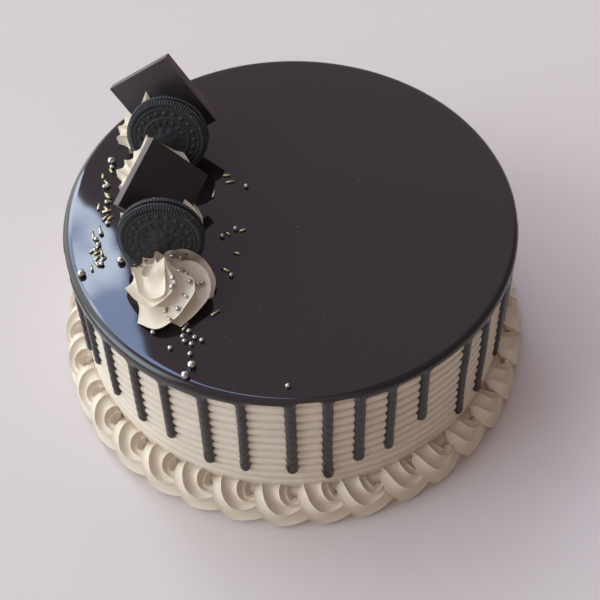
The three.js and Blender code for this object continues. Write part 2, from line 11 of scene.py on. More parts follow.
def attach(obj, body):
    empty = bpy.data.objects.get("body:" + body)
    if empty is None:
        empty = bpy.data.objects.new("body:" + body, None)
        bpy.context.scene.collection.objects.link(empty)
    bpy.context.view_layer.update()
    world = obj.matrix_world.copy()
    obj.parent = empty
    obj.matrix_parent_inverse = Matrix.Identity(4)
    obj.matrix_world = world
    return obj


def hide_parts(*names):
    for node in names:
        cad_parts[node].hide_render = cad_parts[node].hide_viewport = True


bl_info = {
    "name": "Mocha Drip Cake",
    "version": (1, 0, 0),
    "blender": (4, 5, 0),
    "location": "3D View > Sidebar > Cake",
    "description": "Builds the cream, glaze and toppings of a birthday cake round its solid model",
    "category": "Object",
}

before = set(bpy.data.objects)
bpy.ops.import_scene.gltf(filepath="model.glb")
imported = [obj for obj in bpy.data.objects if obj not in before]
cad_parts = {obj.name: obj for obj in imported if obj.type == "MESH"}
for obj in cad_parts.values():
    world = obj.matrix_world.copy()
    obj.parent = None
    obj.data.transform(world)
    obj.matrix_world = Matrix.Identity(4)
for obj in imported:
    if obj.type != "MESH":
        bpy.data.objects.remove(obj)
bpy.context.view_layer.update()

# Lengths in the functions below are millimetres, and MM turns them into Blender's metres.
MM = 0.001
MERGE_DISTANCE = 0.002  # points nearer than this are one
BODY = "root"
TAU = 2 * math.pi


def length(name, description, default):
    return FloatProperty(name=name, description=description, default=default, min=0, unit="LENGTH")


def tint(name, description, default):
    return FloatVectorProperty(
        name=name, description=description, default=default, size=3, subtype="COLOR", min=0, max=1
    )


class CakeSizes(bpy.types.PropertyGroup):
    """Sizes that the pieces are built from."""

    height: length("Height", "Base to the glazed top", 0.106)
    top_radius: length("Rim radius", "Widest line of the glazed rim", 0.125)
    foot_radius: length("Foot radius", "Crests of the wall at the foot", 0.126)
    wall_top_radius: length("Wall top radius", "Crests of the wall under the rim", 0.1222)
    comb_pitch: length("Comb pitch", "Height of one combed ridge", 0.007)
    comb_depth: length("Comb depth", "Depth of the grooves of the comb", 0.00175)
    drip_half_width: length("Drip half width", "Half the width of a drip", 0.0028)
    border_radius: length("Border radius", "Outer radius of the piped border", 0.142)
    shells: IntProperty(name="Shells", description="Piped shells round the foot", default=36, min=3)
    shell_spread: FloatProperty(
        name="Shell spread",
        description="Random turn of each shell about the axis",
        default=0.012,
        subtype="ANGLE",
    )
    cookie_radius: length("Cookie radius", "Outer radius of a wafer", 0.0224)
    cookie_ridges: IntProperty(
        name="Rim ridges", description="Ridges round a wafer's rim", default=90, min=12
    )
    rod_width: length("Rod width", "Thickness of a gold rod", 0.0014)
    pearl_radius: length("Pearl radius", "Radius of a small pearl", 0.00135)
    large_pearl_radius: length("Large pearl radius", "Radius of a large pearl", 0.0022)


class CakeColours(bpy.types.PropertyGroup):
    """Colours of the finishes, as linear light."""

    cream: tint("Wall cream", "Combed buttercream", (0.605, 0.52, 0.415))
    piping: tint("Piped cream", "Border and rosettes", (0.61, 0.52, 0.405))
    glaze: tint("Glaze", "Mirror glaze", (0.014, 0.009, 0.0105))
    wafer: tint("Wafer", "Dark cookie", (0.0185, 0.0185, 0.0205))
    chocolate: tint("Chocolate", "Face of a chocolate square", (0.021, 0.0155, 0.018))
    chocolate_edge: tint("Chocolate edge", "Cut side of a chocolate square", (0.097, 0.069, 0.07))
    gold: tint("Gold", "Rod sprinkles", (0.56, 0.50, 0.33))
    silver: tint("Silver", "Pearls", (0.50, 0.48, 0.44))
    floor: tint("Floor", "Plain floor", (0.60, 0.535, 0.505))


def lerp(a, b, t):
    return a + (b - a) * t


def smoothstep(low, high, x):
    t = np.clip((x - low) / (high - low), 0, 1)
    return t * t * (3 - 2 * t)


def round_cap(share):
    """Height of a round-topped bump, 1 in its middle and 0 at its edges (share -1 and 1)."""
    return np.sqrt(np.clip(1 - share**2, 0, 1))


def seeded_draws(seed):
    """The same repeatable draws between 0 and 1 that place the solid model's sprinkles and drips."""
    word = 0xFFFFFFFF
    state = seed & word

    def multiply(a, b):
        return (a * b) & word

    def draw():
        nonlocal state
        state = (state + 0x6D2B79F5) & word
        t = multiply(state ^ (state >> 15), 1 | state)
        t = ((t + multiply(t ^ (t >> 7), 61 | t)) & word) ^ t
        return (t ^ (t >> 14)) / (word + 1)

    return draw


def around(azimuth, radius, z):
    """Points at an azimuth counted from the front (-Y), positive towards +X."""
    azimuth, radius, z = np.broadcast_arrays(azimuth, radius, z)
    return np.stack([radius * np.sin(azimuth), -radius * np.cos(azimuth), z], -1)


def grid_faces(rows, columns):
    """Quads between rings of points, ring after ring."""
    low = np.arange(rows - 1)[:, None] * columns
    here = np.arange(columns)[None, :]
    after = (here + 1) % columns
    quads = np.stack([low + here, low + after, low + columns + after, low + columns + here], -1)
    return quads.reshape(-1, 4).tolist()


def closed_rings(rings):
    """Points and faces of stacked rings, with the first and the last ring filled in."""
    steps = len(rings[0])
    points = np.concatenate(rings)
    faces = grid_faces(len(rings), steps)
    faces.append(list(range(steps))[::-1])
    faces.append([len(points) - steps + i for i in range(steps)])
    return points, faces


def clean(mesh):
    """Merges doubled points, drops loose ones and turns the faces outwards."""
    shape = bmesh.new()
    shape.from_mesh(mesh)
    bmesh.ops.remove_doubles(shape, verts=shape.verts, dist=MERGE_DISTANCE * MM)
    bmesh.ops.recalc_face_normals(shape, faces=shape.faces)
    bmesh.ops.delete(shape, geom=[v for v in shape.verts if not v.link_faces], context="VERTS")
    shape.to_mesh(mesh)
    shape.free()


def add_object(name, data, *materials):
    for material in materials:
        data.materials.append(material)
    obj = bpy.data.objects.new(name, data)
    bpy.context.scene.collection.objects.link(obj)
    return obj


def piece(name, points, faces, material, sharp_degrees):
    """A mesh object from millimetre points, with creases where its faces meet more sharply."""
    mesh = bpy.data.meshes.new(name)
    mesh.from_pydata((np.asarray(points, float).reshape(-1, 3) * MM).tolist(), [], faces)
    clean(mesh)
    mesh.shade_smooth()
    mesh.set_sharp_from_angle(angle=math.radians(sharp_degrees))
    return add_object(name, mesh, material)


def dress(obj, slot, *nodes):
    """Puts a finished piece on the cake in place of its solid nodes."""
    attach(obj, BODY)
    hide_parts(*nodes)


# ---- Materials ----
# In the finishes, scales are counted per metre and a bump's depth is in millimetres.

# Sockets and outputs that Blender gives no name of their own, by index.
MIX_FIRST, MIX_SECOND, MIX_RESULT = 6, 7, 2


class Nodes:
    """Short ways to add nodes to a tree. A value is a number, a tuple or another node's output."""

    def __init__(self, tree, coordinates=None):
        self.tree = tree
        if coordinates:
            self.place = self.node("ShaderNodeTexCoord").outputs[coordinates]

    def node(self, kind, values=None, **settings):
        node = self.tree.nodes.new(kind)
        for key, value in settings.items():
            setattr(node, key, value)
        for socket, value in (values or {}).items():
            if isinstance(value, bpy.types.NodeSocket):
                self.tree.links.new(value, node.inputs[socket])
            else:
                node.inputs[socket].default_value = value
        return node

    def math(self, operation, a, b):
        return self.node("ShaderNodeMath", {0: a, 1: b}, operation=operation).outputs[0]

    def noise(self, scale, detail=2.0, roughness=0.5):
        """Noise at the tree's own coordinates, with its scale counted per metre."""
        values = {"Vector": self.place, "Scale": scale, "Detail": detail, "Roughness": roughness}
        return self.node("ShaderNodeTexNoise", values).outputs["Fac"]

    def spread(self, source, low, high, start=0.0, end=1.0, curve="LINEAR"):
        """Maps source from low..high to start..end, with its ends held."""
        values = {"Value": source, "From Min": low, "From Max": high, "To Min": start, "To Max": end}
        return self.node("ShaderNodeMapRange", values, interpolation_type=curve).outputs["Result"]

    def mix(self, factor, first, second):
        """Blends two colours by a factor; each is a colour or an output."""
        first, second = (v if isinstance(v, bpy.types.NodeSocket) else (*v, 1) for v in (first, second))
        values = {"Factor": factor, MIX_FIRST: first, MIX_SECOND: second}
        return self.node("ShaderNodeMix", values, data_type="RGBA").outputs[MIX_RESULT]


class Finish(Nodes):
    """A principled material, with its nodes at Object coordinates."""

    def __init__(self, name, colour, roughness, **sockets):
        self.material = bpy.data.materials.new(name)
        self.material.use_nodes = True
        super().__init__(self.material.node_tree, "Object")
        self.shader = self.tree.nodes["Principled BSDF"]
        self.shader.inputs["Base Color"].default_value = (*colour, 1)
        self.shader.inputs["Roughness"].default_value = roughness
        for socket, value in sockets.items():
            self.shader.inputs[socket.replace("_", " ")].default_value = value

    def cells(self, scale):
        """Distance to the nearest of the points that are scattered over the piece."""
        values = {"Vector": self.place, "Scale": scale}
        return self.node("ShaderNodeTexVoronoi", values).outputs["Distance"]

    def specks(self, scale, size, rarity_scale, rarity, detail):
        """Small round specks, only where a slower noise is high."""
        specks = self.spread(self.cells(scale), *size, 1.0, 0.0)
        return self.math("MULTIPLY", specks, self.spread(self.noise(rarity_scale, detail), *rarity))

    def colour(self, output):
        self.tree.links.new(output, self.shader.inputs["Base Color"])

    def rough(self, output):
        self.tree.links.new(output, self.shader.inputs["Roughness"])

    def bumps(self, *layers):
        """Stacks bumps, each a height output with its depth in millimetres."""
        below = {}
        for height, depth in layers:
            values = {"Height": height, "Strength": 1.0, "Distance": depth * MM, **below}
            below = {"Normal": self.node("ShaderNodeBump", values).outputs["Normal"]}
        self.tree.links.new(below["Normal"], self.shader.inputs["Normal"])


def shade(colour, share):
    return tuple(c * share for c in colour)


def cream_finish(name, colour):
    """Whipped buttercream: soft sheen, slight mottling, fine pores, and dark flecks that stand for
    crumbs and for the painted shade of tiny air holes.
    """
    finish = Finish(name, colour, 0.55, Specular_IOR_Level=0.35)
    mottle = finish.spread(finish.noise(38, 3), 0.3, 0.7)
    # Dark flecks: partly crumbs, partly painted shade where tiny air holes would be.
    flecks = finish.specks(150, (0.055, 0.075), 45, (0.66, 0.7), 1)
    plain = finish.mix(mottle, shade(colour, 0.95), shade(colour, 1.05))
    finish.colour(finish.mix(flecks, plain, shade(colour, 0.45)))
    finish.bumps((finish.noise(260, 3), 0.16), (finish.noise(1300, 2), 0.05))
    return finish.material


def glaze_finish(colour):
    """Mirror glaze: near-black cocoa under a smooth wet surface, with faint waves and dust."""
    finish = Finish("mirror_glaze", colour, 0.035, IOR=1.5)
    dust = finish.specks(210, (0.05, 0.075), 60, (0.6, 0.63), 2)
    finish.colour(finish.mix(dust, colour, (0.12, 0.105, 0.11)))
    finish.bumps((finish.noise(11, 2), 0.35), (dust, 0.05))
    return finish.material


def wafer_finish(colour):
    """Dark cocoa wafer: dry and crumbly, with a fine grain of lighter and darker tone."""
    finish = Finish("dark_wafer", colour, 0.62, Specular_IOR_Level=0.4)
    grain = finish.spread(finish.noise(900, 4, 0.65), 0.35, 0.75)
    finish.colour(finish.mix(grain, shade(colour, 0.7), shade(colour, 1.7)))
    finish.rough(finish.spread(finish.noise(500, 3), 0.3, 0.7, 0.5, 0.75))
    finish.bumps((finish.noise(700, 4, 0.6), 0.18), (finish.noise(2600, 2), 0.06))
    return finish.material


def filling_finish():
    """Dark cocoa cream between two wafers."""
    finish = Finish("cocoa_filling", (0.02, 0.018, 0.018), 0.6)
    finish.bumps((finish.noise(600, 3), 0.12))
    return finish.material


def chocolate_finish(name, colour, low, high, depth):
    """Set chocolate: satin, with a soft bloom and fine marks."""
    finish = Finish(name, colour, low, Specular_IOR_Level=0.5)
    bloom = finish.spread(finish.noise(70, 4, 0.6), 0.35, 0.75)
    finish.colour(finish.mix(bloom, shade(colour, 0.85), shade(colour, 1.25)))
    finish.rough(finish.spread(finish.noise(240, 3), 0.3, 0.7, low, high))
    finish.bumps((finish.noise(420, 4, 0.6), depth), (finish.noise(60, 2), depth))
    return finish.material


def metal_finish(name, colour, roughness):
    """The thin metallic coat of a sprinkle, a little uneven."""
    finish = Finish(name, colour, roughness, Metallic=1.0)
    tone = finish.spread(finish.noise(120, 2), 0.3, 0.7)
    finish.colour(finish.mix(tone, shade(colour, 0.75), shade(colour, 1.15)))
    finish.bumps((finish.noise(1500, 2), 0.02))
    return finish.material


def floor_finish(colour):
    finish = Finish("pale_floor", colour, 0.55, Specular_IOR_Level=0.3)
    finish.colour(finish.mix(finish.noise(9, 4), shade(colour, 0.985), shade(colour, 1.015)))
    return finish.material


# ---- Combed wall ----
RIDGES = 10
FIRST_GROOVE = 27
# One ridge, from its groove (0) to the next groove up (1): share of the pitch, share of the depth.
RIDGE_HEIGHTS = (0.0, 0.05, 0.12, 0.22, 0.34, 0.48, 0.62, 0.74, 0.83, 0.9, 0.955)
RIDGE_DEPTHS = (1.0, 0.68, 0.46, 0.28, 0.15, 0.06, 0.01, 0.0, 0.07, 0.26, 0.6)
WALL_COLUMNS = 640
PLAIN_BAND = (0, 6, 14, 20, 24, 26)  # heights of the rings under the comb
# Rings over the comb: in from the wall's top radius, and down from the cake's top.
WALL_SHOULDER = ((1.5, 8.7), (0.4, 7.8), (0.15, 6.5), (0.6, 4.95), (1.7, 3.55), (4, 2.35))
# The wall leans in and out by LEAN, from FULL_LEAN up. A groove drifts up and down, and its depth
# varies by a share. Each has its seed and the waves round the cake that it is made of.
LEAN, FULL_LEAN, LEAN_SEED = 0.25, 20, 7
DRIFT, DRIFT_SEED, DRIFT_WAVES = 0.25, 20, (3, 7, 12)
WEAR, WEAR_SEED, WEAR_WAVES = 0.14, 50, (9, 17, 23)


def wall_radius(sizes, z):
    return lerp(sizes.foot_radius, sizes.wall_top_radius, z * MM / sizes.height) / MM


def slow_waves(azimuth, seed, waves=(2, 3, 5, 8, 13)):
    """A smooth closed line round the cake, about -1 to 1."""
    draw = seeded_draws(seed)
    total = sum(np.sin(azimuth * n + draw() * TAU) * draw() / math.sqrt(n) for n in waves)
    return total * 0.9


def build_wall(sizes, material):
    pitch, depth, top = sizes.comb_pitch / MM, sizes.comb_depth / MM, sizes.height / MM
    azimuth = np.linspace(0, TAU, WALL_COLUMNS, endpoint=False)
    lean = slow_waves(azimuth, LEAN_SEED) * LEAN
    rings = [
        around(azimuth, wall_radius(sizes, z) + lean * min(1, z / FULL_LEAN), z) for z in PLAIN_BAND
    ]
    for i in range(RIDGES):
        drift = slow_waves(azimuth, DRIFT_SEED + i, DRIFT_WAVES) * DRIFT
        wear = 1 + slow_waves(azimuth, WEAR_SEED + i, WEAR_WAVES) * WEAR
        for share, dip in zip(RIDGE_HEIGHTS, RIDGE_DEPTHS):
            z = FIRST_GROOVE + (i + share) * pitch + drift
            rings.append(around(azimuth, wall_radius(sizes, z) + lean - depth * dip * wear, z))
    for inward, down in WALL_SHOULDER:
        rings.append(around(azimuth, sizes.wall_top_radius / MM - inward + lean / 2, top - down))
    dress(piece("combed_wall", *closed_rings(rings), material, 50), "buttercream", "cake_body")


# ---- Mirror glaze ----
SEED = 41
# The drips that the front shows: azimuth in degrees, and the height where the drip ends.
FRONT_DRIPS = (
    (-70, 41), (-62, 49), (-53, 43), (-43, 41), (-33.6, 43), (-23.1, 34), (-13.7, 35), (-2.1, 36),
    (6.6, 28.5), (14.4, 40), (22.4, 42), (31.6, 54.5), (45.5, 29), (54.4, 29), (67, 29), (72, 45),
)
# Lower edge of the glaze in the windows between those drips, from the first window on.
FRONT_WINDOWS = (97, 96.5, 96.5, 96, 96.5, 99, 101, 103, 102, 99, 100.3, 99.5, 98.5, 98, 98)
# At the back: the drips' step and jitter in degrees, and the heights that drips and windows end
# between.
BACK_STEP, BACK_JITTER, BACK_ENDS, BACK_WINDOWS = 10, 3, (31, 56), (96.5, 102)
DRIP_SHOULDER = 1.3  # degrees from a drip's middle to the windows beside it
# A drip's side wanders, and swells out in the comb's grooves. Its tip is wider than the rest.
WANDER, SHORTEST_WAVE, WAVE_SPREAD, WAVES_SEED = 0.9, 9, 6, SEED + 9
SWELL, MEAN_DIP = 0.6, 0.3
DRIP_WIDTHS, TIP_WIDTH, TIP_START, TIP_END = (0.92, 1.08), 1.1, 4, 16
DRIP_REACH = 0.16  # radians from a drip's middle that its outline is worked out over
FILLET = 3.6  # rounding between a drip and the windows beside it
# Columns of the grid on each side of a drip's middle, and the least and the widest column.
COLUMN_OFFSETS = (0.7, 1.35, 1.9, 2.3, 2.6, 2.85, 3.1, 3.5, 4.2, 5.2, 6.5, 8.2)
LEAST_COLUMN, WIDEST_COLUMN = 0.22, 1.9
# Rows of the grid, down from the top: those of the rounded rim, and then the skirt's.
RIM_ROWS = (0.07, 0.3, 0.75, 1.4, 2.2, 3.1)
RIM_WIDEST, THINNING_START = 3.8, 1.3
SKIRT_START, SKIRT_FOOT, SKIRT_STEP = 4.1, 26, 1.15
# The flat top turns into the rim along a crease that wavers a little, in from the rim.
CREASE, CREASE_WAVER, CREASE_SEED, CREASE_WAVES = 4, 0.7, 3, (2, 3, 5, 7)
TOP_RINGS, LAST_RING = (112, 116.5), 1.6
# The film's rounded edge, and its thickness, which is a share less at the foot of the drips. The
# comb's grooves show in it.
EDGE_WIDTH, FOOT_THICKNESS, THICKENING, GROOVE_SINK = 2.9, 0.9, (20, 104), 0.45
SLACK = 0.05  # kept inside the solid model's rim
# The glaze's hidden side, as rings (radius, down from the underside) and how far it lies in.
UNDERSIDE = 2.1
HIDDEN_RINGS = ((110, 0), (114, 0), (116.5, 0), (118, 0.02))
HIDDEN_DEPTH, HIDDEN_RADIUS = 2.6, 118.5
OUTLINE_MARGIN = 0.45


def all_drips():
    """The front's drips, and the same habit carried round the back."""
    draw = seeded_draws(SEED)
    first = FRONT_DRIPS[-1][0]
    gap = 360 + FRONT_DRIPS[0][0] - first
    count = round(gap / BACK_STEP) - 1
    back = []
    for i in range(1, count + 1):
        azimuth = first + gap * i / (count + 1) + (draw() - 0.5) * BACK_JITTER
        back.append((azimuth, lerp(*BACK_ENDS, draw())))
    return list(FRONT_DRIPS) + back


def glaze_columns(drips, radius):
    """Azimuths of the grid's columns: close together over each drip, wider between."""
    marks = []
    for azimuth, _ in drips:
        middle = math.radians(azimuth)
        marks.append((middle, 0))
        for rank, offset in enumerate(COLUMN_OFFSETS, 1):
            marks += [(middle - offset / radius, rank), (middle + offset / radius, rank)]
    start = marks[0][0] - 0.05
    marks = sorted(((m - start) % TAU, rank) for m, rank in marks)
    kept = [marks[0]]
    for mark in marks[1:]:
        if mark[0] - kept[-1][0] > LEAST_COLUMN / radius:
            kept.append(mark)
        elif mark[1] < kept[-1][1]:
            kept[-1] = mark
    angles = [m for m, _ in kept]
    filled = []
    for a, b in zip(angles, angles[1:] + [angles[0] + TAU]):
        steps = max(1, math.ceil((b - a) * radius / WIDEST_COLUMN))
        filled += [a + (b - a) * i / steps for i in range(steps)]
    return np.array(filled) + start


def window_edges(drips, azimuth):
    """Height of the glaze's lower edge in the windows between drips."""
    draw = seeded_draws(SEED + 5)
    levels = list(FRONT_WINDOWS)
    levels += [lerp(*BACK_WINDOWS, draw()) for _ in range(len(drips) - len(FRONT_WINDOWS))]
    stops, heights = [], []
    for i, (middle, _) in enumerate(drips):
        stops += [math.radians(middle - DRIP_SHOULDER), math.radians(middle + DRIP_SHOULDER)]
        heights += [levels[i - 1], levels[i]]
    return np.interp(azimuth, stops, heights, period=TAU)


def smooth_most(a, b, fillet):
    """The larger of two fields, with the corner between them rounded."""
    near = np.maximum(fillet - np.abs(a - b), 0) / fillet
    return np.maximum(a, b) + near * near * fillet / 4


def ridge_dips(sizes, z):
    """How deep the comb's grooves are at each height, as a share, and none over the comb."""
    place = (z - FIRST_GROOVE) / (sizes.comb_pitch / MM)
    dips = np.interp(place % 1, RIDGE_HEIGHTS + (1.0,), RIDGE_DEPTHS + (1.0,))
    return np.where(place < RIDGES, dips, 0)


def glaze_reach(sizes, drips, azimuth, z):
    """How far each point of the wall lies inside the glaze's outline, negative outside it."""
    reach = z[:, None] - window_edges(drips, azimuth)[None, :]
    half = sizes.drip_half_width / MM
    draw = seeded_draws(WAVES_SEED)
    swell = SWELL * (ridge_dips(sizes, z) - MEAN_DIP)[:, None]
    for middle, end in drips:
        away = (azimuth - math.radians(middle) + math.pi) % TAU - math.pi
        near = np.abs(away) < DRIP_REACH
        wander = (draw() - 0.5) * WANDER
        wander = wander * np.sin(z / (SHORTEST_WAVE + draw() * WAVE_SPREAD) + draw() * TAU)
        side = np.abs(away[near][None, :] * wall_radius(sizes, z)[:, None] + wander[:, None])
        size = half * lerp(*DRIP_WIDTHS, draw())
        tip = size * TIP_WIDTH
        width = lerp(size, tip, smoothstep(end + TIP_END, end + TIP_START, z))[:, None]
        below = np.minimum(z - end - tip, 0)[:, None]
        drip = width + swell - np.hypot(side, below)
        reach[:, near] = smooth_most(reach[:, near], drip, FILLET)
    return reach


def bead(reach, proud):
    """Thickness of a round-edged film at a distance inside its outline."""
    inside = np.clip(reach / EDGE_WIDTH, 0, 1)
    return np.where(reach >= 0, proud * round_cap(1 - inside), np.maximum(reach * 6, -HIDDEN_DEPTH))


def film_faces(rows, columns, shown):
    """Faces of a film's front grid and back grid, joined along the outline of what is shown."""
    faces = np.array(grid_faces(rows, columns))
    faces = faces[shown.reshape(-1)[faces].any(axis=1)]
    count = rows * columns
    edges = np.concatenate([faces[:, [i, (i + 1) % 4]] for i in range(4)])
    keys = edges[:, 0] * count + edges[:, 1]
    reverse = edges[:, 1] * count + edges[:, 0]
    outline = edges[~np.isin(keys, reverse)]
    outline = outline[outline.min(axis=1) >= columns]
    sides = [[a, a + count, b + count, b] for a, b in outline.tolist()]
    middles = [list(range(columns))[::-1], [i + count for i in range(columns)]]
    return faces.tolist() + (faces[:, ::-1] + count).tolist() + sides + middles


def build_glaze(sizes, material):
    top, rim = sizes.height / MM, sizes.top_radius / MM
    widest, under = top - RIM_WIDEST, top - UNDERSIDE
    drips = all_drips()
    azimuth = glaze_columns(drips, rim - 2)
    skirt = np.arange(top - SKIRT_START, SKIRT_FOOT, -SKIRT_STEP)
    z = np.concatenate([top - np.array(RIM_ROWS), skirt])
    wall = wall_radius(sizes, z)
    reach = glaze_reach(sizes, drips, azimuth, z)

    full = rim - wall_radius(sizes, widest) - SLACK
    thickness = full * lerp(FOOT_THICKNESS, 1, smoothstep(*THICKENING, z))
    film = bead(reach, thickness[:, None])
    film = film - ridge_dips(sizes, z)[:, None] * GROOVE_SINK * (film > 0)
    crease = rim - CREASE + slow_waves(azimuth, CREASE_SEED, CREASE_WAVES) * CREASE_WAVER
    shoulder = lerp(crease, rim - SLACK, round_cap((z - widest) / RIM_WIDEST)[:, None])
    thinned = shoulder - np.clip(full - film, 0, None) * (z < top - THINNING_START)[:, None]
    radius = np.where(z[:, None] > widest, thinned, wall[:, None] + film)

    rings = [around(azimuth, r, top) for r in TOP_RINGS]
    rings += [around(azimuth, crease - LAST_RING, top), around(azimuth, crease, top - 0.002)]
    front = [*rings, around(azimuth, radius, z[:, None]).reshape(-1, 3)]
    back = [around(azimuth, r, under - down) for r, down in HIDDEN_RINGS]
    behind = np.minimum(wall - HIDDEN_DEPTH - 0.5, HIDDEN_RADIUS + (top - z) * 0.25)
    behind_z = np.minimum(z, under - 0.1 - (top - z) * 0.01)
    back.append(around(azimuth, behind[:, None], behind_z[:, None]).reshape(-1, 3))

    shown = np.ones((len(rings) + len(z), len(azimuth)), bool)
    shown[len(rings):] = reach > -OUTLINE_MARGIN
    faces = film_faces(*shown.shape, shown)
    obj = piece("mirror_glaze", np.concatenate(front + back), faces, material, 55)
    dress(obj, "glaze", "chocolate_glaze")


# ---- Piped border ----
CLEARANCE = 0.35
SLOPE_LENGTH = 29
BORDER_HEIGHT = 27
BORDER_MIDDLE = 6  # in from the border's outer radius, where lengths along it are counted
FIRST_SHELL = 8
BED_INSET, BED_DROP, BED_DEPTH, BED_COLUMNS, BED_ROWS = 2.4, 3, 4.2, 180, 9
WALL_BITE, WALL_DROP = 0.016, 0.8
# A shell is drawn by crest lines that come down from the wall, bend round a curl and run off to
# the right under the next shell. Each stop is (along the border, down the slope, out of the bed).
SHELL_EDGE = (
    (-19.0, 0.0, 0.2), (-21.6, 3.5, 1.2), (-21.8, 7.5, 1.8), (-20.9, 12.5, 2.0), (-18.6, 17.3, 1.9),
    (-15.6, 21.8, 1.5), (-11.0, 26.6, 1.0), (-4.2, 26.8, 0.8), (3.0, 25.4, 0.0), (9.0, 23.5, -1.6),
)
OUTER_CREST = (
    (-18.3, 0.0, 0.8), (-17.4, 4.5, 2.6), (-15.9, 9.3, 3.4), (-13.4, 13.5, 3.6), (-10.2, 16.5, 3.5),
    (-6.2, 17.9, 3.1), (-2.0, 17.6, 2.5), (1.6, 16.3, 1.7), (4.6, 14.6, 0.6), (8.0, 12.0, -1.2),
)
INNER_CREST = (
    (-7.6, 0.0, 0.8), (-8.1, 2.6, 1.8), (-7.9, 5.6, 2.6), (-7.1, 8.4, 3.0), (-5.5, 10.8, 3.1),
    (-3.4, 12.2, 3.0), (-1.0, 12.7, 2.7), (1.2, 12.4, 2.1), (3.2, 11.4, 1.2), (5.5, 9.5, -0.4),
)
CURL = (
    (-3.6, 0.6, -1.0), (-3.9, 2.2, -0.4), (-3.9, 4.0, 0.6), (-3.6, 5.8, 1.5), (-3.0, 7.6, 2.1),
    (-2.2, 9.0, 2.2), (-1.2, 9.7, 2.1), (-0.2, 9.6, 1.7), (0.6, 8.9, 1.2), (1.0, 7.9, 0.5),
)
CURL_HOLLOW = (0.5, 7.8, -3.0)
# Depth of the hollow between one crest line and the next, at the same stops.
HOLLOWS = (
    (0.1, 0.3, 0.5, 0.8, 1.0, 1.2, 1.3, 1.3, 1.1, 0.8),
    (1.2, 2.6, 3.6, 4.0, 4.0, 3.6, 3.1, 2.6, 2.0, 1.4),
    (1.2, 2.4, 3.0, 3.2, 3.0, 2.6, 2.2, 1.8, 1.2, 0.8),
)
# Lines that carry the outer edge down into the bed, as moves from that edge.
SHELL_SKIRT = ((0.3, 1.2, -7.0), (-0.1, 0.9, -3.0), (-0.1, 0.3, -0.8))
# Rows along a shell, columns between one crest line and the next, and how round the hollows are.
SHELL_ROWS, SHELL_COLUMNS, SHELL_ROUNDNESS = 42, (9, 12, 8), 0.6
SHELL_CORE = (5, 6)  # out from the foot radius, and height
SMALLEST_SHELL = (0.994, 0.994, 0.93)


def slope_points(sizes, azimuth, slope, out):
    """Points on the border's rounded slope: slope is 0 at the wall, and out stands off the bed."""
    inner = sizes.foot_radius / MM + CLEARANCE
    bed = sizes.border_radius / MM - BED_INSET - inner
    tilt = slope / SLOPE_LENGTH * math.pi / 2
    radius = inner + (bed + out) * np.sin(tilt)
    return around(azimuth, radius, np.maximum(0, (BORDER_HEIGHT - BED_DROP + out) * np.cos(tilt)))


def into_wall(points):
    """The same points a little lower and nearer the axis, inside the wall."""
    return points * (1 - WALL_BITE, 1 - WALL_BITE, 1) - (0, 0, WALL_DROP)


def smooth_path(stops, at):
    """A smooth line through evenly spaced stops, read at places from 0 to 1."""
    stops = np.asarray(stops, float)
    stops = stops.reshape(len(stops), -1)
    padded = np.concatenate([2 * stops[:1] - stops[1:2], stops, 2 * stops[-1:] - stops[-2:-1]])
    place = np.clip(at, 0, 1) * (len(stops) - 1)
    i = np.minimum(place.astype(int), len(stops) - 2)
    t = (place - i)[:, None]
    a, b, c, d = (padded[i + k] for k in range(4))
    return b + 0.5 * t * (c - a + t * (2 * a - 5 * b + 4 * c - d + t * (3 * (b - c) + d - a)))


def build_shell(sizes):
    """One hooked stroke of the star nozzle, at azimuth 0."""
    along = np.linspace(0, 1, SHELL_ROWS)
    lines = [smooth_path(line, along) for line in (SHELL_EDGE, OUTER_CREST, INNER_CREST, CURL)]
    hollows = [smooth_path(depth, along)[:, 0] for depth in HOLLOWS]
    across = [lines[0] + move for move in SHELL_SKIRT]
    for first, second, hollow, steps in zip(lines, lines[1:], hollows, SHELL_COLUMNS):
        for i in range(steps):
            line = lerp(first, second, i / steps)
            line[:, 2] -= hollow * math.sin(math.pi * i / steps) ** SHELL_ROUNDNESS
            across.append(line)
    across.append(lines[-1])
    pit = np.repeat(np.array([CURL_HOLLOW]), SHELL_ROWS, 0)
    across += [lerp(lines[-1], pit, 0.5) + (0, 0, 0.5), pit]
    forward, slope, out = np.moveaxis(np.stack(across, 1), -1, 0)
    azimuth = forward / (sizes.border_radius / MM - BORDER_MIDDLE)
    surface = slope_points(sizes, azimuth, np.clip(slope, 0, SLOPE_LENGTH), out)
    surface = np.concatenate([into_wall(surface[:1]), surface])
    sections = len(surface)
    outward, height = SHELL_CORE
    core = around(0.0, sizes.foot_radius / MM + outward, height)
    rings = np.concatenate([surface, np.tile(core, (sections, 1, 1))], 1)
    count = rings.shape[1]
    faces = grid_faces(sections, count)
    last = (sections - 1) * count
    for j in range(count - 2):
        faces.append([count - 1, j + 1, j])
        faces.append([last + count - 1, last + j, last + j + 1])
    return rings.reshape(-1, 3), faces


# Random Value's sockets for a vector's and a number's limits, and its output for a number.
VECTOR_LOW, VECTOR_HIGH, NUMBER_LOW, NUMBER_HIGH, NUMBER_OUT = 0, 1, 2, 3, 1
SOCKETS = {int: "NodeSocketInt", float: "NodeSocketFloat"}


def geometry_nodes(name, defaults):
    """An empty geometry tree with a named input for each default."""
    tree = bpy.data.node_groups.new(name, "GeometryNodeTree")
    for way in ("INPUT", "OUTPUT"):
        tree.interface.new_socket("Geometry", in_out=way, socket_type="NodeSocketGeometry")
    for label, default in defaults.items():
        socket = tree.interface.new_socket(label, in_out="INPUT", socket_type=SOCKETS[type(default)])
        socket.default_value = default
    return Nodes(tree)


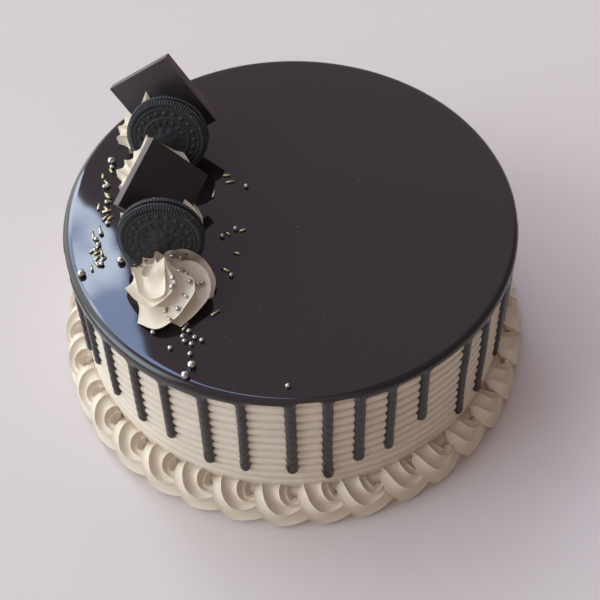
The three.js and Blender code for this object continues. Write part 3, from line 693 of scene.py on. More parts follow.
def set_on_points(build, points, instance, rotation, scale, material):
    """Ends a tree: one instance on each point, made real and given its material."""
    placed = build.node(
        "GeometryNodeInstanceOnPoints",
        {"Points": points, "Instance": instance, "Rotation": rotation, "Scale": scale},
    )
    real = build.node("GeometryNodeRealizeInstances", {"Geometry": placed.outputs[0]})
    painted = build.node("GeometryNodeSetMaterial", {"Geometry": real.outputs[0], "Material": material})
    build.node("NodeGroupOutput", {"Geometry": painted.outputs[0]})
    return build.tree


def run_tree(obj, tree, values):
    """Runs a node tree on an object and leaves the result as its plain mesh."""
    modifier = obj.modifiers.new(tree.name, "NODES")
    modifier.node_group = tree
    for item in tree.interface.items_tree:
        if item.in_out == "INPUT" and item.name in values:
            modifier[item.identifier] = values[item.name]
    graph = bpy.context.evaluated_depsgraph_get()
    mesh = bpy.data.meshes.new_from_object(obj.evaluated_get(graph))
    obj.modifiers.remove(modifier)
    old = obj.data
    obj.data = mesh
    bpy.data.meshes.remove(old)
    mesh.name = obj.name


def border_tree(material):
    """Repeats one shell round the axis, each a little off its even place and size."""
    build = geometry_nodes("shell_ring", {"Shells": 36, "First angle": 0.0, "Spread": 0.0, "Seed": 1})
    inputs = build.node("NodeGroupInput").outputs
    points = build.node("GeometryNodePoints", {"Count": inputs["Shells"]})
    index = build.node("GeometryNodeInputIndex").outputs[0]
    step = build.math("DIVIDE", TAU, inputs["Shells"])
    even = build.math("ADD", build.math("MULTIPLY", index, step), inputs["First angle"])
    low = build.math("MULTIPLY", inputs["Spread"], -1.0)
    jitter = build.node(
        "FunctionNodeRandomValue",
        {NUMBER_LOW: low, NUMBER_HIGH: inputs["Spread"], "Seed": inputs["Seed"]},
        data_type="FLOAT",
    )
    turn = build.math("ADD", even, jitter.outputs[NUMBER_OUT])
    rotation = build.node("ShaderNodeCombineXYZ", {"Z": turn}).outputs[0]
    size = build.node(
        "FunctionNodeRandomValue",
        {VECTOR_LOW: SMALLEST_SHELL, VECTOR_HIGH: (1.0, 1.0, 1.0), "Seed": inputs["Seed"]},
        data_type="FLOAT_VECTOR",
    ).outputs[0]
    return set_on_points(build, points.outputs[0], inputs["Geometry"], rotation, size, material)


def build_border(sizes, material):
    shells = piece("border_shells", *build_shell(sizes), material, 35)
    values = {
        "Shells": sizes.shells,
        "First angle": math.radians(FIRST_SHELL),
        "Spread": sizes.shell_spread,
        "Seed": SEED,
    }
    run_tree(shells, border_tree(material), values)
    dress(shells, "piping", "piped_border")
    steps = BED_COLUMNS
    azimuth = np.linspace(0, TAU, steps, endpoint=False)
    rings = [around(azimuth, sizes.foot_radius / MM + CLEARANCE - 2, 0.0)]
    for slope in np.linspace(SLOPE_LENGTH, 0, BED_ROWS):
        rings.append(slope_points(sizes, azimuth, slope, -BED_DEPTH))
    rings.append(into_wall(rings[-1]))
    faces = grid_faces(len(rings), steps)
    last = (len(rings) - 1) * steps
    faces += [[last + i, last + (i + 1) % steps, (i + 1) % steps, i] for i in range(steps)]
    dress(piece("border_bed", np.concatenate(rings), faces, material, 50), "piping", "piped_border")


# ---- Toppings ----
# Name, middle of the front face (x, y, height over the glaze), azimuth and elevation it looks to.
COOKIES = (
    ("cookie_1", (-67.4, -37.9, 22), 0, 11.5),
    ("cookie_2", (-67.2, 36.2, 21.6), -4.8, 17),
)
# Name, side, thickness, middle of the front face, azimuth, elevation and spin in degrees.
SQUARES = (
    ("chocolate_square_1", 39.7, 5.5, (-66.3, -6.3, 131.9), 43, 28.7, 29.6),
    ("chocolate_square_2", 44.8, 5, (-69.9, 58.1, 132.1), -18, 8, 38.5),
)
# Name, middle, size, rise, share kept of the height over the crown, and turn in degrees.
ROSETTES = (
    ("rosette_1", (-64.3, -56), 1, 1, 1, 0),
    ("rosette_2", (-70.8, -16.4), 0.99, 1.35, 0.5, 7),
    ("rosette_3", (-74.5, 22), 0.91, 1.36, 1, 21),
    ("rosette_4", (-75.6, 59.6), 0.9, 1.27, 1, 49),
)
CROWN = 14
# Cream behind this slanting line is squeezed up the cookie behind it: how far back the line is
# at the foot, how it leans, and the way the cream moves (back, up).
SQUEEZED = ("rosette_1",)
SQUEEZE_LINE, SQUEEZE_LEAN, SQUEEZE_WAY = 13.2, 0.2, (-0.59, 0.81)
# A rosette is one swirl of a star nozzle. Each of its eight crests is a line of stops
# (x, y, height) that starts at a petal's tip, winds anticlockwise and climbs to the beak.
ROSETTE_CRESTS = (
    (
        (-22.5, 4, 0), (-22.7, 1.5, 4.5), (-16.6, -8, 7), (-8.6, -15.3, 10),
        (-3, -14.3, 12.5), (2.6, -9.5, 14.5), (4.4, -5, 16.5), (1.4, 0.4, 21),
    ),
    (
        (-16, -17.5, 0), (-5.6, -24.2, 3.5), (4.1, -20.5, 7), (9.9, -14.5, 10.3),
        (13.8, -8.5, 12.8), (13.3, -2, 14.5), (8.4, 0.8, 16.5), (2.4, 2.6, 21),
    ),
    (
        (6, -21, 0), (14.5, -15, 4), (21.1, -6, 7), (20.4, 4.5, 9.7),
        (14.5, 10.6, 12.2), (8.3, 10.8, 14), (3.6, 7.5, 16.5), (1.6, 4.8, 21),
    ),
    (
        (22.2, -2.5, 0), (23.5, 6, 4), (18.2, 16.4, 7), (10.1, 20.8, 10),
        (3, 18.8, 12.3), (-0.2, 13.4, 14.5), (-0.3, 8.8, 17), (0.5, 6, 21.5),
    ),
    (
        (11, 21, 0), (9.5, 22.6, 4), (4.4, 23, 7), (-0.3, 20.4, 10),
        (-2.6, 16, 12.5), (-3.1, 12, 15), (-2.6, 8.8, 17.5), (-1, 6.6, 21.5),
    ),
    (
        (-4.5, 24, 0), (-5.4, 24.4, 4.5), (-7.1, 21.5, 7.3), (-7, 17, 10.5),
        (-6.6, 13, 13), (-5.8, 9.6, 15.5), (-4.4, 7, 18), (-2.2, 5.6, 22),
    ),
    (
        (-13.5, 21, 0), (-13.4, 21.4, 4.5), (-13.3, 14, 7.5), (-13.8, 7, 9.5),
        (-11.4, 2.4, 12.3), (-7, 1.8, 15), (-4.7, 1.8, 18), (-2.4, 3.2, 22),
    ),
    (
        (-20.5, 15, 0), (-20.1, 15.6, 4.3), (-17.1, 4.5, 7.3), (-14, -6.5, 10),
        (-7.5, -11.8, 12), (-1.4, -10.5, 14), (-0.5, -5.5, 16), (-0.5, -0.6, 21),
    ),
)
ROSETTE_TIP = (-0.2, 4, 26)
# Between two crests the surface is hollow: its depth for far neighbours, the distance that it
# grows over, and the way it sinks at each stop, from 0 (towards the middle) to 90 (down).
HOLLOW_DEPTH, HOLLOW_REACH = 3.7, 9
HOLLOW_SINK = (5, 15, 35, 60, 75, 70, 40, 15)
ROSETTE_REACH = 24.5
ROSETTE_ROWS, ROSETTE_COLUMNS, ROSETTE_ROUNDNESS = 64, 14, 0.8  # columns between two crests


def placed_rosette(sizes, one, points):
    """Points of the swirl, counted from the middle of its foot, set on the cake."""
    name, (x, y), size, rise, crown, turn = one
    points = np.array(points, float)
    points[..., 2] -= np.maximum(points[..., 2] - CROWN, 0) * (1 - crown)
    if name in SQUEEZED:
        back, up = SQUEEZE_WAY
        behind = np.maximum(points[..., 1] - SQUEEZE_LINE - SQUEEZE_LEAN * points[..., 2], 0)
        move = behind / (SQUEEZE_LEAN * up - back)
        points[..., 1] += back * move
        points[..., 2] += up * move
    c, s = math.cos(math.radians(turn)) * size, math.sin(math.radians(turn)) * size
    spread = points @ np.array([(c, s, 0), (-s, c, 0), (0, 0, rise)])
    return spread + (x, y, sizes.height / MM + CLEARANCE)


def rosette_mesh(sizes, one):
    along = np.linspace(0, 1, ROSETTE_ROWS)
    crests = [smooth_path(line, along) for line in ROSETTE_CRESTS]
    sink = np.radians(smooth_path(HOLLOW_SINK, along)[:, 0])
    columns = []
    for first, second in zip(crests, crests[1:] + crests[:1]):
        gap = np.linalg.norm(second - first, axis=1)
        deepest = HOLLOW_DEPTH * (1 - np.exp(-gap / HOLLOW_REACH))
        for i in range(ROSETTE_COLUMNS):
            share = i / ROSETTE_COLUMNS
            depth = deepest * math.sin(math.pi * share) ** ROSETTE_ROUNDNESS
            line = lerp(first, second, share)
            level = np.maximum(np.hypot(line[:, 0], line[:, 1]), 1)
            line[:, :2] *= (1 - depth * np.cos(sink) / level)[:, None]
            line[:, 2] = np.maximum(line[:, 2] - depth * np.sin(sink), 0)
            columns.append(line)
    rings = np.stack(columns, 1)
    rows, steps = rings.shape[:2]
    points = np.concatenate([rings.reshape(-1, 3), [(0, 0, 0), ROSETTE_TIP]])
    faces = grid_faces(rows, steps)
    foot, tip, last = rows * steps, rows * steps + 1, (rows - 1) * steps
    for j in range(steps):
        after = (j + 1) % steps
        faces.append([foot, after, j])
        faces.append([tip, last + j, last + after])
    return placed_rosette(sizes, one, points), faces


def build_rosettes(sizes, material):
    for one in ROSETTES:
        swirl = piece(one[0] + "_cream", *rosette_mesh(sizes, one), material, 40)
        dress(swirl, "piping", one[0])


def stand(middle, azimuth, elevation, spin=0.0):
    """The frame of a piece whose front face looks along +Z before it is stood up."""
    a, e = math.radians(azimuth), math.radians(elevation)
    normal = Vector((math.sin(a) * math.cos(e), -math.cos(a) * math.cos(e), math.sin(e)))
    side = Vector((0, 0, 1)).cross(normal).normalized()
    turned = Matrix((side, normal.cross(side), normal)).transposed().to_4x4()
    return Matrix.Translation(middle) @ turned @ Matrix.Rotation(math.radians(spin), 4, "Z")


def moved(points, matrix):
    m = np.array(matrix)
    return points @ m[:3, :3].T + m[:3, 3]


# ---- Cookies ----
WAFER, FILLING, FILLING_RADIUS = 2.9, 1.3, 20.4
# Rings of a wafer's side: share of its radius, depth under the front face.
WAFER_SIDE = ((1.0, 1.6), (0.995, 2.3), (0.985, WAFER))
TOOTH_DEPTH, TOOTH_START, STEPS_PER_RIDGE = 0.35, 0.93, 4
FACE_ROWS = ((0.02, 0.84, 42), (0.85, 1.0, 12))  # from one radius to another, and how many
# Relief of the front face. Radii and widths are shares of the wafer's radius, and heights are
# millimetres. A pair is the way that an edge rises.
RIM_EDGE, RIM_HEIGHT, RIM_DROP = (0.83, 0.86), 0.66, 1.15
FACE_RINGS = ((0.79, 0.018, 0.5), (0.545, 0.016, 0.46))  # radius, width, height
DOTS, DOT_CIRCLE, DOT_RADIUS, DOT_HEIGHT = 20, 0.675, 0.052, 0.66
RAYS, RAY_SIDE, RAY_INNER, RAY_OUTER, RAY_HEIGHT = 16, (0.022, 0.014), (0.36, 0.38), (0.49, 0.47), 0.52
FLOWER_RADIUS, FLOWER_HEIGHT, PETALS, PETAL_NOTCH = 0.30, 0.66, 6, 0.38
FLOWER_EYE, FLOWER_EYE_DEPTH = 0.06, 0.3
# Rings of the filling's side: in from its radius, height.
FILLING_STEPS = 120
FILLING_SIDE = ((0.5, 0.0), (0.0, 0.3), (0.15, 0.65), (0.0, 1.0), (0.5, FILLING))
FILLING_WAVER, FILLING_SEED = 0.25, 90


def off_spoke(angle, count):
    """Angle from the nearest of so many even spokes."""
    return (angle + math.pi / count) % (TAU / count) - math.pi / count


def wafer_height(radius, angle, ridges):
    """Relief of an embossed wafer: ridged rim, rings, dots, short rays and a plain flower."""
    ridge = (0.5 + 0.5 * np.cos(angle * ridges)) ** 0.8
    fall = smoothstep(RIM_EDGE[1], 1.0, radius) ** 1.6
    height = smoothstep(*RIM_EDGE, radius) * (RIM_HEIGHT * ridge * (1 - 0.35 * fall) - RIM_DROP * fall)
    for middle, width, rise in FACE_RINGS:
        height += rise * np.exp(-(((radius - middle) / width) ** 2))
    across = off_spoke(angle, DOTS) * radius
    height += DOT_HEIGHT * round_cap(np.hypot(radius - DOT_CIRCLE, across) / DOT_RADIUS)
    rays = smoothstep(*RAY_SIDE, np.abs(off_spoke(angle, RAYS) * radius))
    height += RAY_HEIGHT * rays * smoothstep(*RAY_INNER, radius) * smoothstep(*RAY_OUTER, radius)
    petal = FLOWER_RADIUS * (1 - PETAL_NOTCH * (1 - np.abs(np.cos(angle * PETALS / 2))))
    height += FLOWER_HEIGHT * round_cap(radius / petal)
    return height - FLOWER_EYE_DEPTH * smoothstep(FLOWER_EYE, 0.0, radius)


def polar_ring(radius, angle, z):
    radius, angle, z = np.broadcast_arrays(radius, angle, z)
    return np.stack([radius * np.cos(angle), radius * np.sin(angle), z], -1)


def wafer_mesh(sizes):
    """A wafer whose front face looks along +Z, at z 0."""
    ridges, size = sizes.cookie_ridges, sizes.cookie_radius / MM
    steps = ridges * STEPS_PER_RIDGE
    angle = np.arange(steps) * TAU / steps
    teeth = TOOTH_DEPTH * (0.5 - 0.5 * np.cos(angle * ridges))
    rings = []
    for share in np.concatenate([np.linspace(*rows) for rows in FACE_ROWS]):
        radius = share * size - teeth * smoothstep(TOOTH_START, 1.0, share)
        rings.append(polar_ring(radius, angle, wafer_height(np.full(steps, share), angle, ridges)))
    for share, depth in WAFER_SIDE:
        rings.append(polar_ring(share * size - teeth, angle, -depth))
    return closed_rings(rings)


def filling_mesh():
    """The round of cream under a front wafer that looks along +Z, at z 0."""
    angle = np.arange(FILLING_STEPS) * TAU / FILLING_STEPS
    low = -(WAFER + CLEARANCE + FILLING)
    edge = FILLING_RADIUS + FILLING_WAVER * slow_waves(angle, FILLING_SEED)
    return closed_rings([polar_ring(edge - inset, angle, low + z) for inset, z in FILLING_SIDE])


def build_cookies(sizes, wafer, filling):
    points, faces = wafer_mesh(sizes)
    flipped = points * (1, -1, -1) - (0, 0, 2 * WAFER + FILLING + 2 * CLEARANCE)
    cream, cream_faces = filling_mesh()
    for name, (x, y, lift), azimuth, elevation in COOKIES:
        matrix = stand((x, y, lift + sizes.height / MM), azimuth, elevation)
        front = piece(name + "_front", moved(points, matrix), faces, wafer, 50)
        dress(front, "wafer", name + "_front_wafer")
        back = piece(name + "_back", moved(flipped, matrix), faces, wafer, 50)
        dress(back, "wafer", name + "_back_wafer")
        middle = piece(name + "_middle", moved(cream, matrix), cream_faces, filling, 50)
        dress(middle, "filling", name + "_filling")


# ---- Chocolate squares ----
SQUARE_BEVEL, BEVEL_STEPS, BEVEL_PROFILE = 0.45, 2, 0.6


def build_squares(face_material, edge_material):
    for name, side, thickness, middle, azimuth, elevation, spin in SQUARES:
        shape = bmesh.new()
        bmesh.ops.create_cube(shape, size=1.0)
        bmesh.ops.scale(shape, vec=(side, side, thickness), verts=shape.verts)
        bmesh.ops.translate(shape, vec=(0, 0, -thickness / 2), verts=shape.verts)
        for face in shape.faces:
            face.material_index = 0 if abs(face.normal.z) > 0.5 else 1
        bmesh.ops.bevel(
            shape, geom=list(shape.edges), offset=SQUARE_BEVEL, segments=BEVEL_STEPS,
            profile=BEVEL_PROFILE, affect="EDGES", material=-1,
        )
        matrix = Matrix.Scale(MM, 4) @ stand(middle, azimuth, elevation, spin)
        bmesh.ops.transform(shape, matrix=matrix, verts=shape.verts)
        bmesh.ops.recalc_face_normals(shape, faces=shape.faces)
        mesh = bpy.data.meshes.new(name + "_plaque")
        shape.to_mesh(mesh)
        shape.free()
        mesh.shade_smooth()
        mesh.set_sharp_from_angle(angle=math.radians(40))
        dress(add_object(mesh.name, mesh, face_material, edge_material), "chocolate", name)


# ---- Sprinkles ----
LARGE_PEARLS = ((-111, -41), (-91, -33), (-101, 40), (-52, -101), (-55, -107))
SMALL_PEARLS = (
    (-57, -83), (-54, -80), (-51, -84), (-56, -86), (-52.5, -88), (-47.5, -86), (-53, -94),
    (-63, -90), (-72, -80), (-5, -115), (-25, 18), (-38, -18), (-31, -13), (-33, -45), (-103, -13),
)
LOOSE_RODS = (
    (-56, -77, 60), (-41, -69, 35), (-36, -41, -30), (-30, -30, -20), (-35, -16, -35),
    (-27, -14, 20), (-36, 27, 5), (-34, 22, 10), (-43, 13, 80),
)
# The two drifts left of the row: middle, spread, and how many rods and pearls.
DRIFTS = ((-101, 14, 5.5, 27, 19, 6), (-103, -26, 5.5, 12, 9, 4))
# On the front rosette, from its middle: pearls as (x, y), rods as (x, y, heading in degrees).
ROSETTE_PEARLS = (
    (2, 14.8), (1.7, 7), (7.8, 4.9), (9.6, 1.8), (3.4, -3.4), (11.5, -3), (15, -0.6), (17.2, 0.2),
    (5.2, -15.9),
)
ROSETTE_BIG_PEARL = (3.1, -7.2, 1.75)
ROSETTE_RODS = (
    (5.8, 15.4, -35), (7.5, 11.3, 90), (6.7, 1.2, 10), (9.1, -9.5, -45), (-0.9, -14.5, 60),
    (0.9, -20.2, -35),
)
SHORTEST_ROD, LONGEST_ROD = 3.4, 5.6
# Height of a rod's middle and a pearl's middle over what they lie on, as a share of the rod's
# width and the pearl's radius.
ROD_LIFT, PEARL_LIFT = 0.4, 0.8
# The sides of a rod, its length in radii before it is stretched, and how finely a pearl is made.
ROD_SIDES, ROD_SHAPE, PEARL_LEVELS = 14, 4.0, 3


def place_sprinkles(sizes):
    """Rods as (x, y, z, heading, length) and pearls as (x, y, z, radius), as in the solid model."""
    draw = seeded_draws(SEED + 1)
    top = sizes.height / MM
    small, large = sizes.pearl_radius / MM, sizes.large_pearl_radius / MM
    rods, pearls = [], []

    def rod(x, y, z, heading, length):
        rods.append((x, y, z + sizes.rod_width / MM * ROD_LIFT, heading, length))

    def pearl(x, y, z, radius):
        pearls.append((x, y, z + radius * PEARL_LIFT, radius))

    room = ROSETTE_REACH + LONGEST_ROD / 2 + CLEARANCE
    for middle_x, middle_y, spread_x, spread_y, rod_count, pearl_count in DRIFTS:
        for i in range(rod_count + pearl_count):
            x = middle_x + (draw() + draw() - 1) * spread_x
            y = middle_y + (draw() * 2 - 1) * spread_y
            heading = draw() * math.pi
            length = lerp(SHORTEST_ROD, LONGEST_ROD, draw())
            if any(math.hypot(x - cx, y - cy) <= room for _, (cx, cy), *_ in ROSETTES):
                continue
            if i < rod_count:
                rod(x, y, top, heading, length)
            else:
                pearl(x, y, top, small)
    for x, y, degrees in LOOSE_RODS:
        rod(x, y, top, math.radians(degrees), lerp(SHORTEST_ROD, LONGEST_ROD, draw()))
    for places, radius in ((LARGE_PEARLS, large), (SMALL_PEARLS, small)):
        for x, y in places:
            pearl(x, y, top, radius)
    points, faces = rosette_mesh(sizes, ROSETTES[0])
    cream = BVHTree.FromPolygons(points.tolist(), faces)
    middle_x, middle_y = ROSETTES[0][1]

    def on_cream(dx, dy):
        x, y = middle_x + dx, middle_y + dy
        return x, y, cream.ray_cast(Vector((x, y, 2 * top)), Vector((0, 0, -1)))[0].z

    for dx, dy, radius in [(x, y, small) for x, y in ROSETTE_PEARLS] + [ROSETTE_BIG_PEARL]:
        pearl(*on_cream(dx, dy), radius)
    for dx, dy, degrees in ROSETTE_RODS:
        rod(*on_cream(dx, dy), math.radians(degrees), SHORTEST_ROD)
    return rods, pearls


def point_cloud(name, places, turns, sizes):
    """Loose points that carry a turn and a size for what is set on them."""
    mesh = bpy.data.meshes.new(name)
    mesh.from_pydata([tuple(c * MM for c in place) for place in places], [], [])
    for label, values in (("turn", turns), ("size", sizes)):
        attribute = mesh.attributes.new(label, "FLOAT_VECTOR", "POINT")
        attribute.data.foreach_set("vector", np.array(values, float).ravel())
    return add_object(name, mesh)


def scatter_tree(name, material, rod):
    """Sets a short rod or a pearl on each point, turned and scaled by the point's own values."""
    build = geometry_nodes(name, {"Radius": 1.0, "Sides": 12})
    inputs = build.node("NodeGroupInput").outputs
    turn, size = (
        build.node("GeometryNodeInputNamedAttribute", {"Name": label}, data_type="FLOAT_VECTOR")
        for label in ("turn", "size")
    )
    values = {"Radius": inputs["Radius"]}
    if rod:
        values["Depth"] = build.math("MULTIPLY", inputs["Radius"], ROD_SHAPE)
        values["Vertices"] = inputs["Sides"]
        made = build.node("GeometryNodeMeshCylinder", values)
        rounded = made.outputs["Side"]
    else:
        values["Subdivisions"] = PEARL_LEVELS
        made = build.node("GeometryNodeMeshIcoSphere", values)
        rounded = True
    values = {"Geometry": made.outputs[0], "Selection": rounded}
    smooth = build.node("GeometryNodeSetShadeSmooth", values)
    return set_on_points(
        build, inputs["Geometry"], smooth.outputs[0], turn.outputs[0], size.outputs[0], material
    )


def build_sprinkles(sizes, gold, silver):
    rods, pearls = place_sprinkles(sizes)
    width, radius = sizes.rod_width, sizes.pearl_radius
    cloud = point_cloud(
        "gold_rods",
        [(x, y, z) for x, y, z, _, _ in rods],
        [(math.pi / 2, 0, heading + math.pi / 2) for *_, heading, _ in rods],
        [(1, 1, length * MM / (ROD_SHAPE * width / 2)) for *_, length in rods],
    )
    run_tree(cloud, scatter_tree("rod_scatter", gold, True), {"Radius": width / 2, "Sides": ROD_SIDES})
    dress(cloud, "gold_sprinkle", "chocolate_glaze", "rosette_1")
    draw = seeded_draws(SEED + 3)
    beads = point_cloud(
        "silver_pearls",
        [(x, y, z) for x, y, z, _ in pearls],
        [(draw() * TAU, draw() * TAU, 0) for _ in pearls],
        [(size * MM / radius,) * 3 for *_, size in pearls],
    )
    run_tree(beads, scatter_tree("pearl_scatter", silver, False), {"Radius": radius})
    dress(beads, "silver_pearl", "chocolate_glaze", "rosette_1")


# ---- Stage ----
CAMERA_PLACE = (0.0, -0.40280, 0.55659)
CAMERA_HEADING, CAMERA_PITCH, CAMERA_ROLL = 0.068415, 0.940495, 0.018779
CAMERA_LENS, CAMERA_SHIFT, SENSOR_WIDTH = 65.52, (-0.0662, 0.0303), 36
FLOOR_REACH, FLOOR_DROP = 3.0, 0.0002
# The room's light, by where it comes from. Height is 0 for level light and 1 for light from
# straight above, and left is an angle in radians, from the back (0) round by the left. A pair is
# the way that the light fades in, from none to all of it.
ROOM_LOW, ROOM_HIGH, ROOM_HEIGHT = (0.585, 0.516, 0.427), (0.62, 0.53, 0.60), (0.4, 0.7)
DIM_RIGHT, DIM_SHARE = ((-0.5, -1.2), (-2.9, -2.4)), 0.6
SKY_LIGHT, SKY_LEFT, SKY_HEIGHT = (2.1, 2.3, 2.2), ((0.4, 0.6), (1.5, 1.2)), (0.88, 0.80)
SIDE_LIGHT, SIDE_LEFT, SIDE_HEIGHT = (4.0, 4.8, 5.5), ((1.3, 1.6), (2.3, 1.95)), (0.9, 0.6)
# The bright gap that the glaze mirrors: its edges waver, its lower one slants, and it holds cloud
# that is whiter further down.
GAP_BLUE, GAP_WHITE = (3.2, 4.5, 7.2), (9.5, 11.0, 13.5)
GAP_LEFT, GAP_END, GAP_SLANT, GAP_LOWER = (0.238, 0.245), (0.6, 0.4), 0.8, (0.935, 0.943)
EDGE_SCALE, EDGE_WAVER = 24, 0.03
CLOUD_SCALE, CLOUD_EDGE, CLOUD_MIDDLE, CLOUD_RISE = 17, (0.42, 0.62), 0.765, 3.0


def build_camera():
    heading, pitch, roll = CAMERA_HEADING, CAMERA_PITCH, CAMERA_ROLL
    level = math.cos(pitch)
    forward = Vector((math.sin(heading) * level, math.cos(heading) * level, -math.sin(pitch)))
    right = Vector((math.cos(heading), -math.sin(heading), 0))
    up = right.cross(forward)
    side = right * math.cos(roll) + up * math.sin(roll)
    upward = up * math.cos(roll) - right * math.sin(roll)
    data = bpy.data.cameras.new("camera")
    data.sensor_width = SENSOR_WIDTH
    data.lens = CAMERA_LENS
    data.shift_x, data.shift_y = CAMERA_SHIFT
    data.clip_start, data.clip_end = 0.01, 100
    camera = add_object("camera", data)
    rotation = Matrix((side, upward, -forward)).transposed().to_4x4()
    camera.matrix_world = Matrix.Translation(CAMERA_PLACE) @ rotation
    bpy.context.scene.camera = camera


def build_world():
    """A dim warm room with soft light from the left, and a bright gap that the glaze mirrors."""
    world = bpy.data.worlds.new("soft_studio")
    world.use_nodes = True
    build = Nodes(world.node_tree, "Generated")
    x, y, height = build.node("ShaderNodeSeparateXYZ", {0: build.place}).outputs
    left = build.math("MULTIPLY", build.math("ARCTAN2", x, y), -1.0)

    def product(first, *others):
        for other in others:
            first = build.math("MULTIPLY", first, other)
        return first

    def fade(source, *pairs):
        """A share that fades in or out with each pair."""
        return product(*(build.spread(source, *pair, curve="SMOOTHSTEP") for pair in pairs))

    def scaled(colour, share):
        values = {0: colour, "Scale": share}
        return build.node("ShaderNodeVectorMath", values, operation="SCALE").outputs[0]

    sky = product(fade(left, *SKY_LEFT), fade(height, SKY_HEIGHT))
    side = product(fade(left, *SIDE_LEFT), fade(height, SIDE_HEIGHT))
    waver = build.math("SUBTRACT", build.noise(EDGE_SCALE, 4), 0.5)
    waver = build.math("MULTIPLY", waver, EDGE_WAVER)
    slant = build.math("ADD", height, build.math("MULTIPLY", left, GAP_SLANT))
    lower = fade(build.math("ADD", slant, waver), GAP_LOWER)
    gap = product(lower, fade(build.math("ADD", left, waver), GAP_LEFT), fade(left, GAP_END))
    whiter = build.math("MULTIPLY", build.math("SUBTRACT", CLOUD_MIDDLE, height), CLOUD_RISE)
    cloud = fade(build.math("ADD", build.noise(CLOUD_SCALE, 5), whiter), CLOUD_EDGE)
    dim = build.math("MULTIPLY", fade(left, *DIM_RIGHT), DIM_SHARE)
    room = build.mix(fade(height, ROOM_HEIGHT), ROOM_LOW, ROOM_HIGH)
    light = scaled(room, build.math("SUBTRACT", 1.0, dim))
    clouds = build.mix(cloud, GAP_BLUE, GAP_WHITE)
    for colour, share in ((SKY_LIGHT, sky), (SIDE_LIGHT, side), (clouds, gap)):
        values = {0: light, 1: scaled(colour, share)}
        light = build.node("ShaderNodeVectorMath", values, operation="ADD").outputs[0]
    build.tree.links.new(light, build.tree.nodes["Background"].inputs["Color"])
    bpy.context.scene.world = world


def build_floor(material):
    r = FLOOR_REACH
    corners = [(x, y, -FLOOR_DROP) for x, y in ((-r, -r), (r, -r), (r, r), (-r, r))]
    mesh = bpy.data.meshes.new("floor")
    mesh.from_pydata(corners, [], [(0, 1, 2, 3)])
    add_object("floor", mesh, material)


# ---- Operators ----
def settings(context):
    return context.scene.cake_sizes, context.scene.cake_colours


class CAKE_OT_wall(bpy.types.Operator):
    """Builds the combed buttercream wall."""

    bl_idname = "cake.build_wall"
    bl_label = "Combed wall"

    def execute(self, context):
        sizes, colours = settings(context)
        build_wall(sizes, cream_finish("wall_cream", colours.cream))
        return {"FINISHED"}


class CAKE_OT_glaze(bpy.types.Operator):
    """Builds the mirror glaze with its drips."""

    bl_idname = "cake.build_glaze"
    bl_label = "Mirror glaze"

    def execute(self, context):
        sizes, colours = settings(context)
        build_glaze(sizes, glaze_finish(colours.glaze))
        return {"FINISHED"}


class CAKE_OT_border(bpy.types.Operator):
    """Builds the ring of piped shells at the foot."""

    bl_idname = "cake.build_border"
    bl_label = "Piped border"

    def execute(self, context):
        sizes, colours = settings(context)
        build_border(sizes, cream_finish("border_cream", colours.piping))
        return {"FINISHED"}


class CAKE_OT_rosettes(bpy.types.Operator):
    """Builds the row of piped rosettes."""

    bl_idname = "cake.build_rosettes"
    bl_label = "Rosettes"

    def execute(self, context):
        sizes, colours = settings(context)
        build_rosettes(sizes, cream_finish("rosette_cream", colours.piping))
        return {"FINISHED"}


class CAKE_OT_cookies(bpy.types.Operator):
    """Builds the two sandwich cookies."""

    bl_idname = "cake.build_cookies"
    bl_label = "Cookies"

    def execute(self, context):
        sizes, colours = settings(context)
        build_cookies(sizes, wafer_finish(colours.wafer), filling_finish())
        return {"FINISHED"}


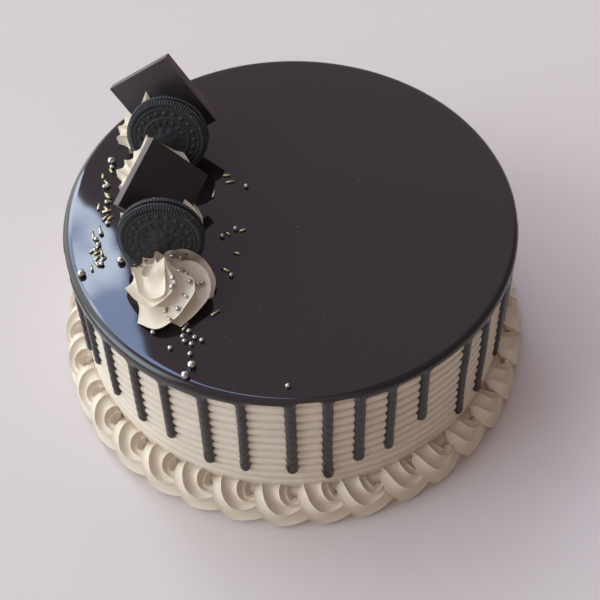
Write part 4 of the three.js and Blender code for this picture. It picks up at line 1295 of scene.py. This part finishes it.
class CAKE_OT_squares(bpy.types.Operator):
    """Builds the two chocolate squares."""

    bl_idname = "cake.build_squares"
    bl_label = "Chocolate squares"

    def execute(self, context):
        _, colours = settings(context)
        face = chocolate_finish("chocolate_face", colours.chocolate, 0.32, 0.45, 0.04)
        edge = chocolate_finish("chocolate_edge", colours.chocolate_edge, 0.5, 0.7, 0.2)
        build_squares(face, edge)
        return {"FINISHED"}


class CAKE_OT_sprinkles(bpy.types.Operator):
    """Builds the gold rods and the silver pearls."""

    bl_idname = "cake.build_sprinkles"
    bl_label = "Sprinkles"

    def execute(self, context):
        sizes, colours = settings(context)
        gold = metal_finish("gold_rod", colours.gold, 0.32)
        silver = metal_finish("silver_pearl", colours.silver, 0.25)
        build_sprinkles(sizes, gold, silver)
        return {"FINISHED"}


class CAKE_OT_stage(bpy.types.Operator):
    """Sets the floor, the light and the camera."""

    bl_idname = "cake.build_stage"
    bl_label = "Stage"

    def execute(self, context):
        _, colours = settings(context)
        build_floor(floor_finish(colours.floor))
        build_world()
        build_camera()
        context.scene.view_settings.view_transform = "Standard"
        return {"FINISHED"}


OPERATORS = (
    CAKE_OT_wall,
    CAKE_OT_glaze,
    CAKE_OT_border,
    CAKE_OT_rosettes,
    CAKE_OT_cookies,
    CAKE_OT_squares,
    CAKE_OT_sprinkles,
    CAKE_OT_stage,
)


class CAKE_PT_panel(bpy.types.Panel):
    """Lists the cake's pieces and their settings."""

    bl_idname = "CAKE_PT_panel"
    bl_label = "Mocha drip cake"
    bl_space_type = "VIEW_3D"
    bl_region_type = "UI"
    bl_category = "Cake"

    def draw(self, context):
        for group in settings(context):
            box = self.layout.box()
            for name in group.bl_rna.properties.keys():
                if name not in ("rna_type", "name"):
                    box.prop(group, name)
        for operator in OPERATORS:
            self.layout.operator(operator.bl_idname)


CLASSES = (CakeSizes, CakeColours, *OPERATORS, CAKE_PT_panel)


def register():
    for item in CLASSES:
        bpy.utils.register_class(item)
    bpy.types.Scene.cake_sizes = PointerProperty(type=CakeSizes)
    bpy.types.Scene.cake_colours = PointerProperty(type=CakeColours)


def unregister():
    del bpy.types.Scene.cake_colours
    del bpy.types.Scene.cake_sizes
    for item in reversed(CLASSES):
        bpy.utils.unregister_class(item)


def main():
    register()
    for operator in OPERATORS:
        group, name = operator.bl_idname.split(".")
        getattr(getattr(bpy.ops, group), name)()


if __name__ == "__main__":
    main()
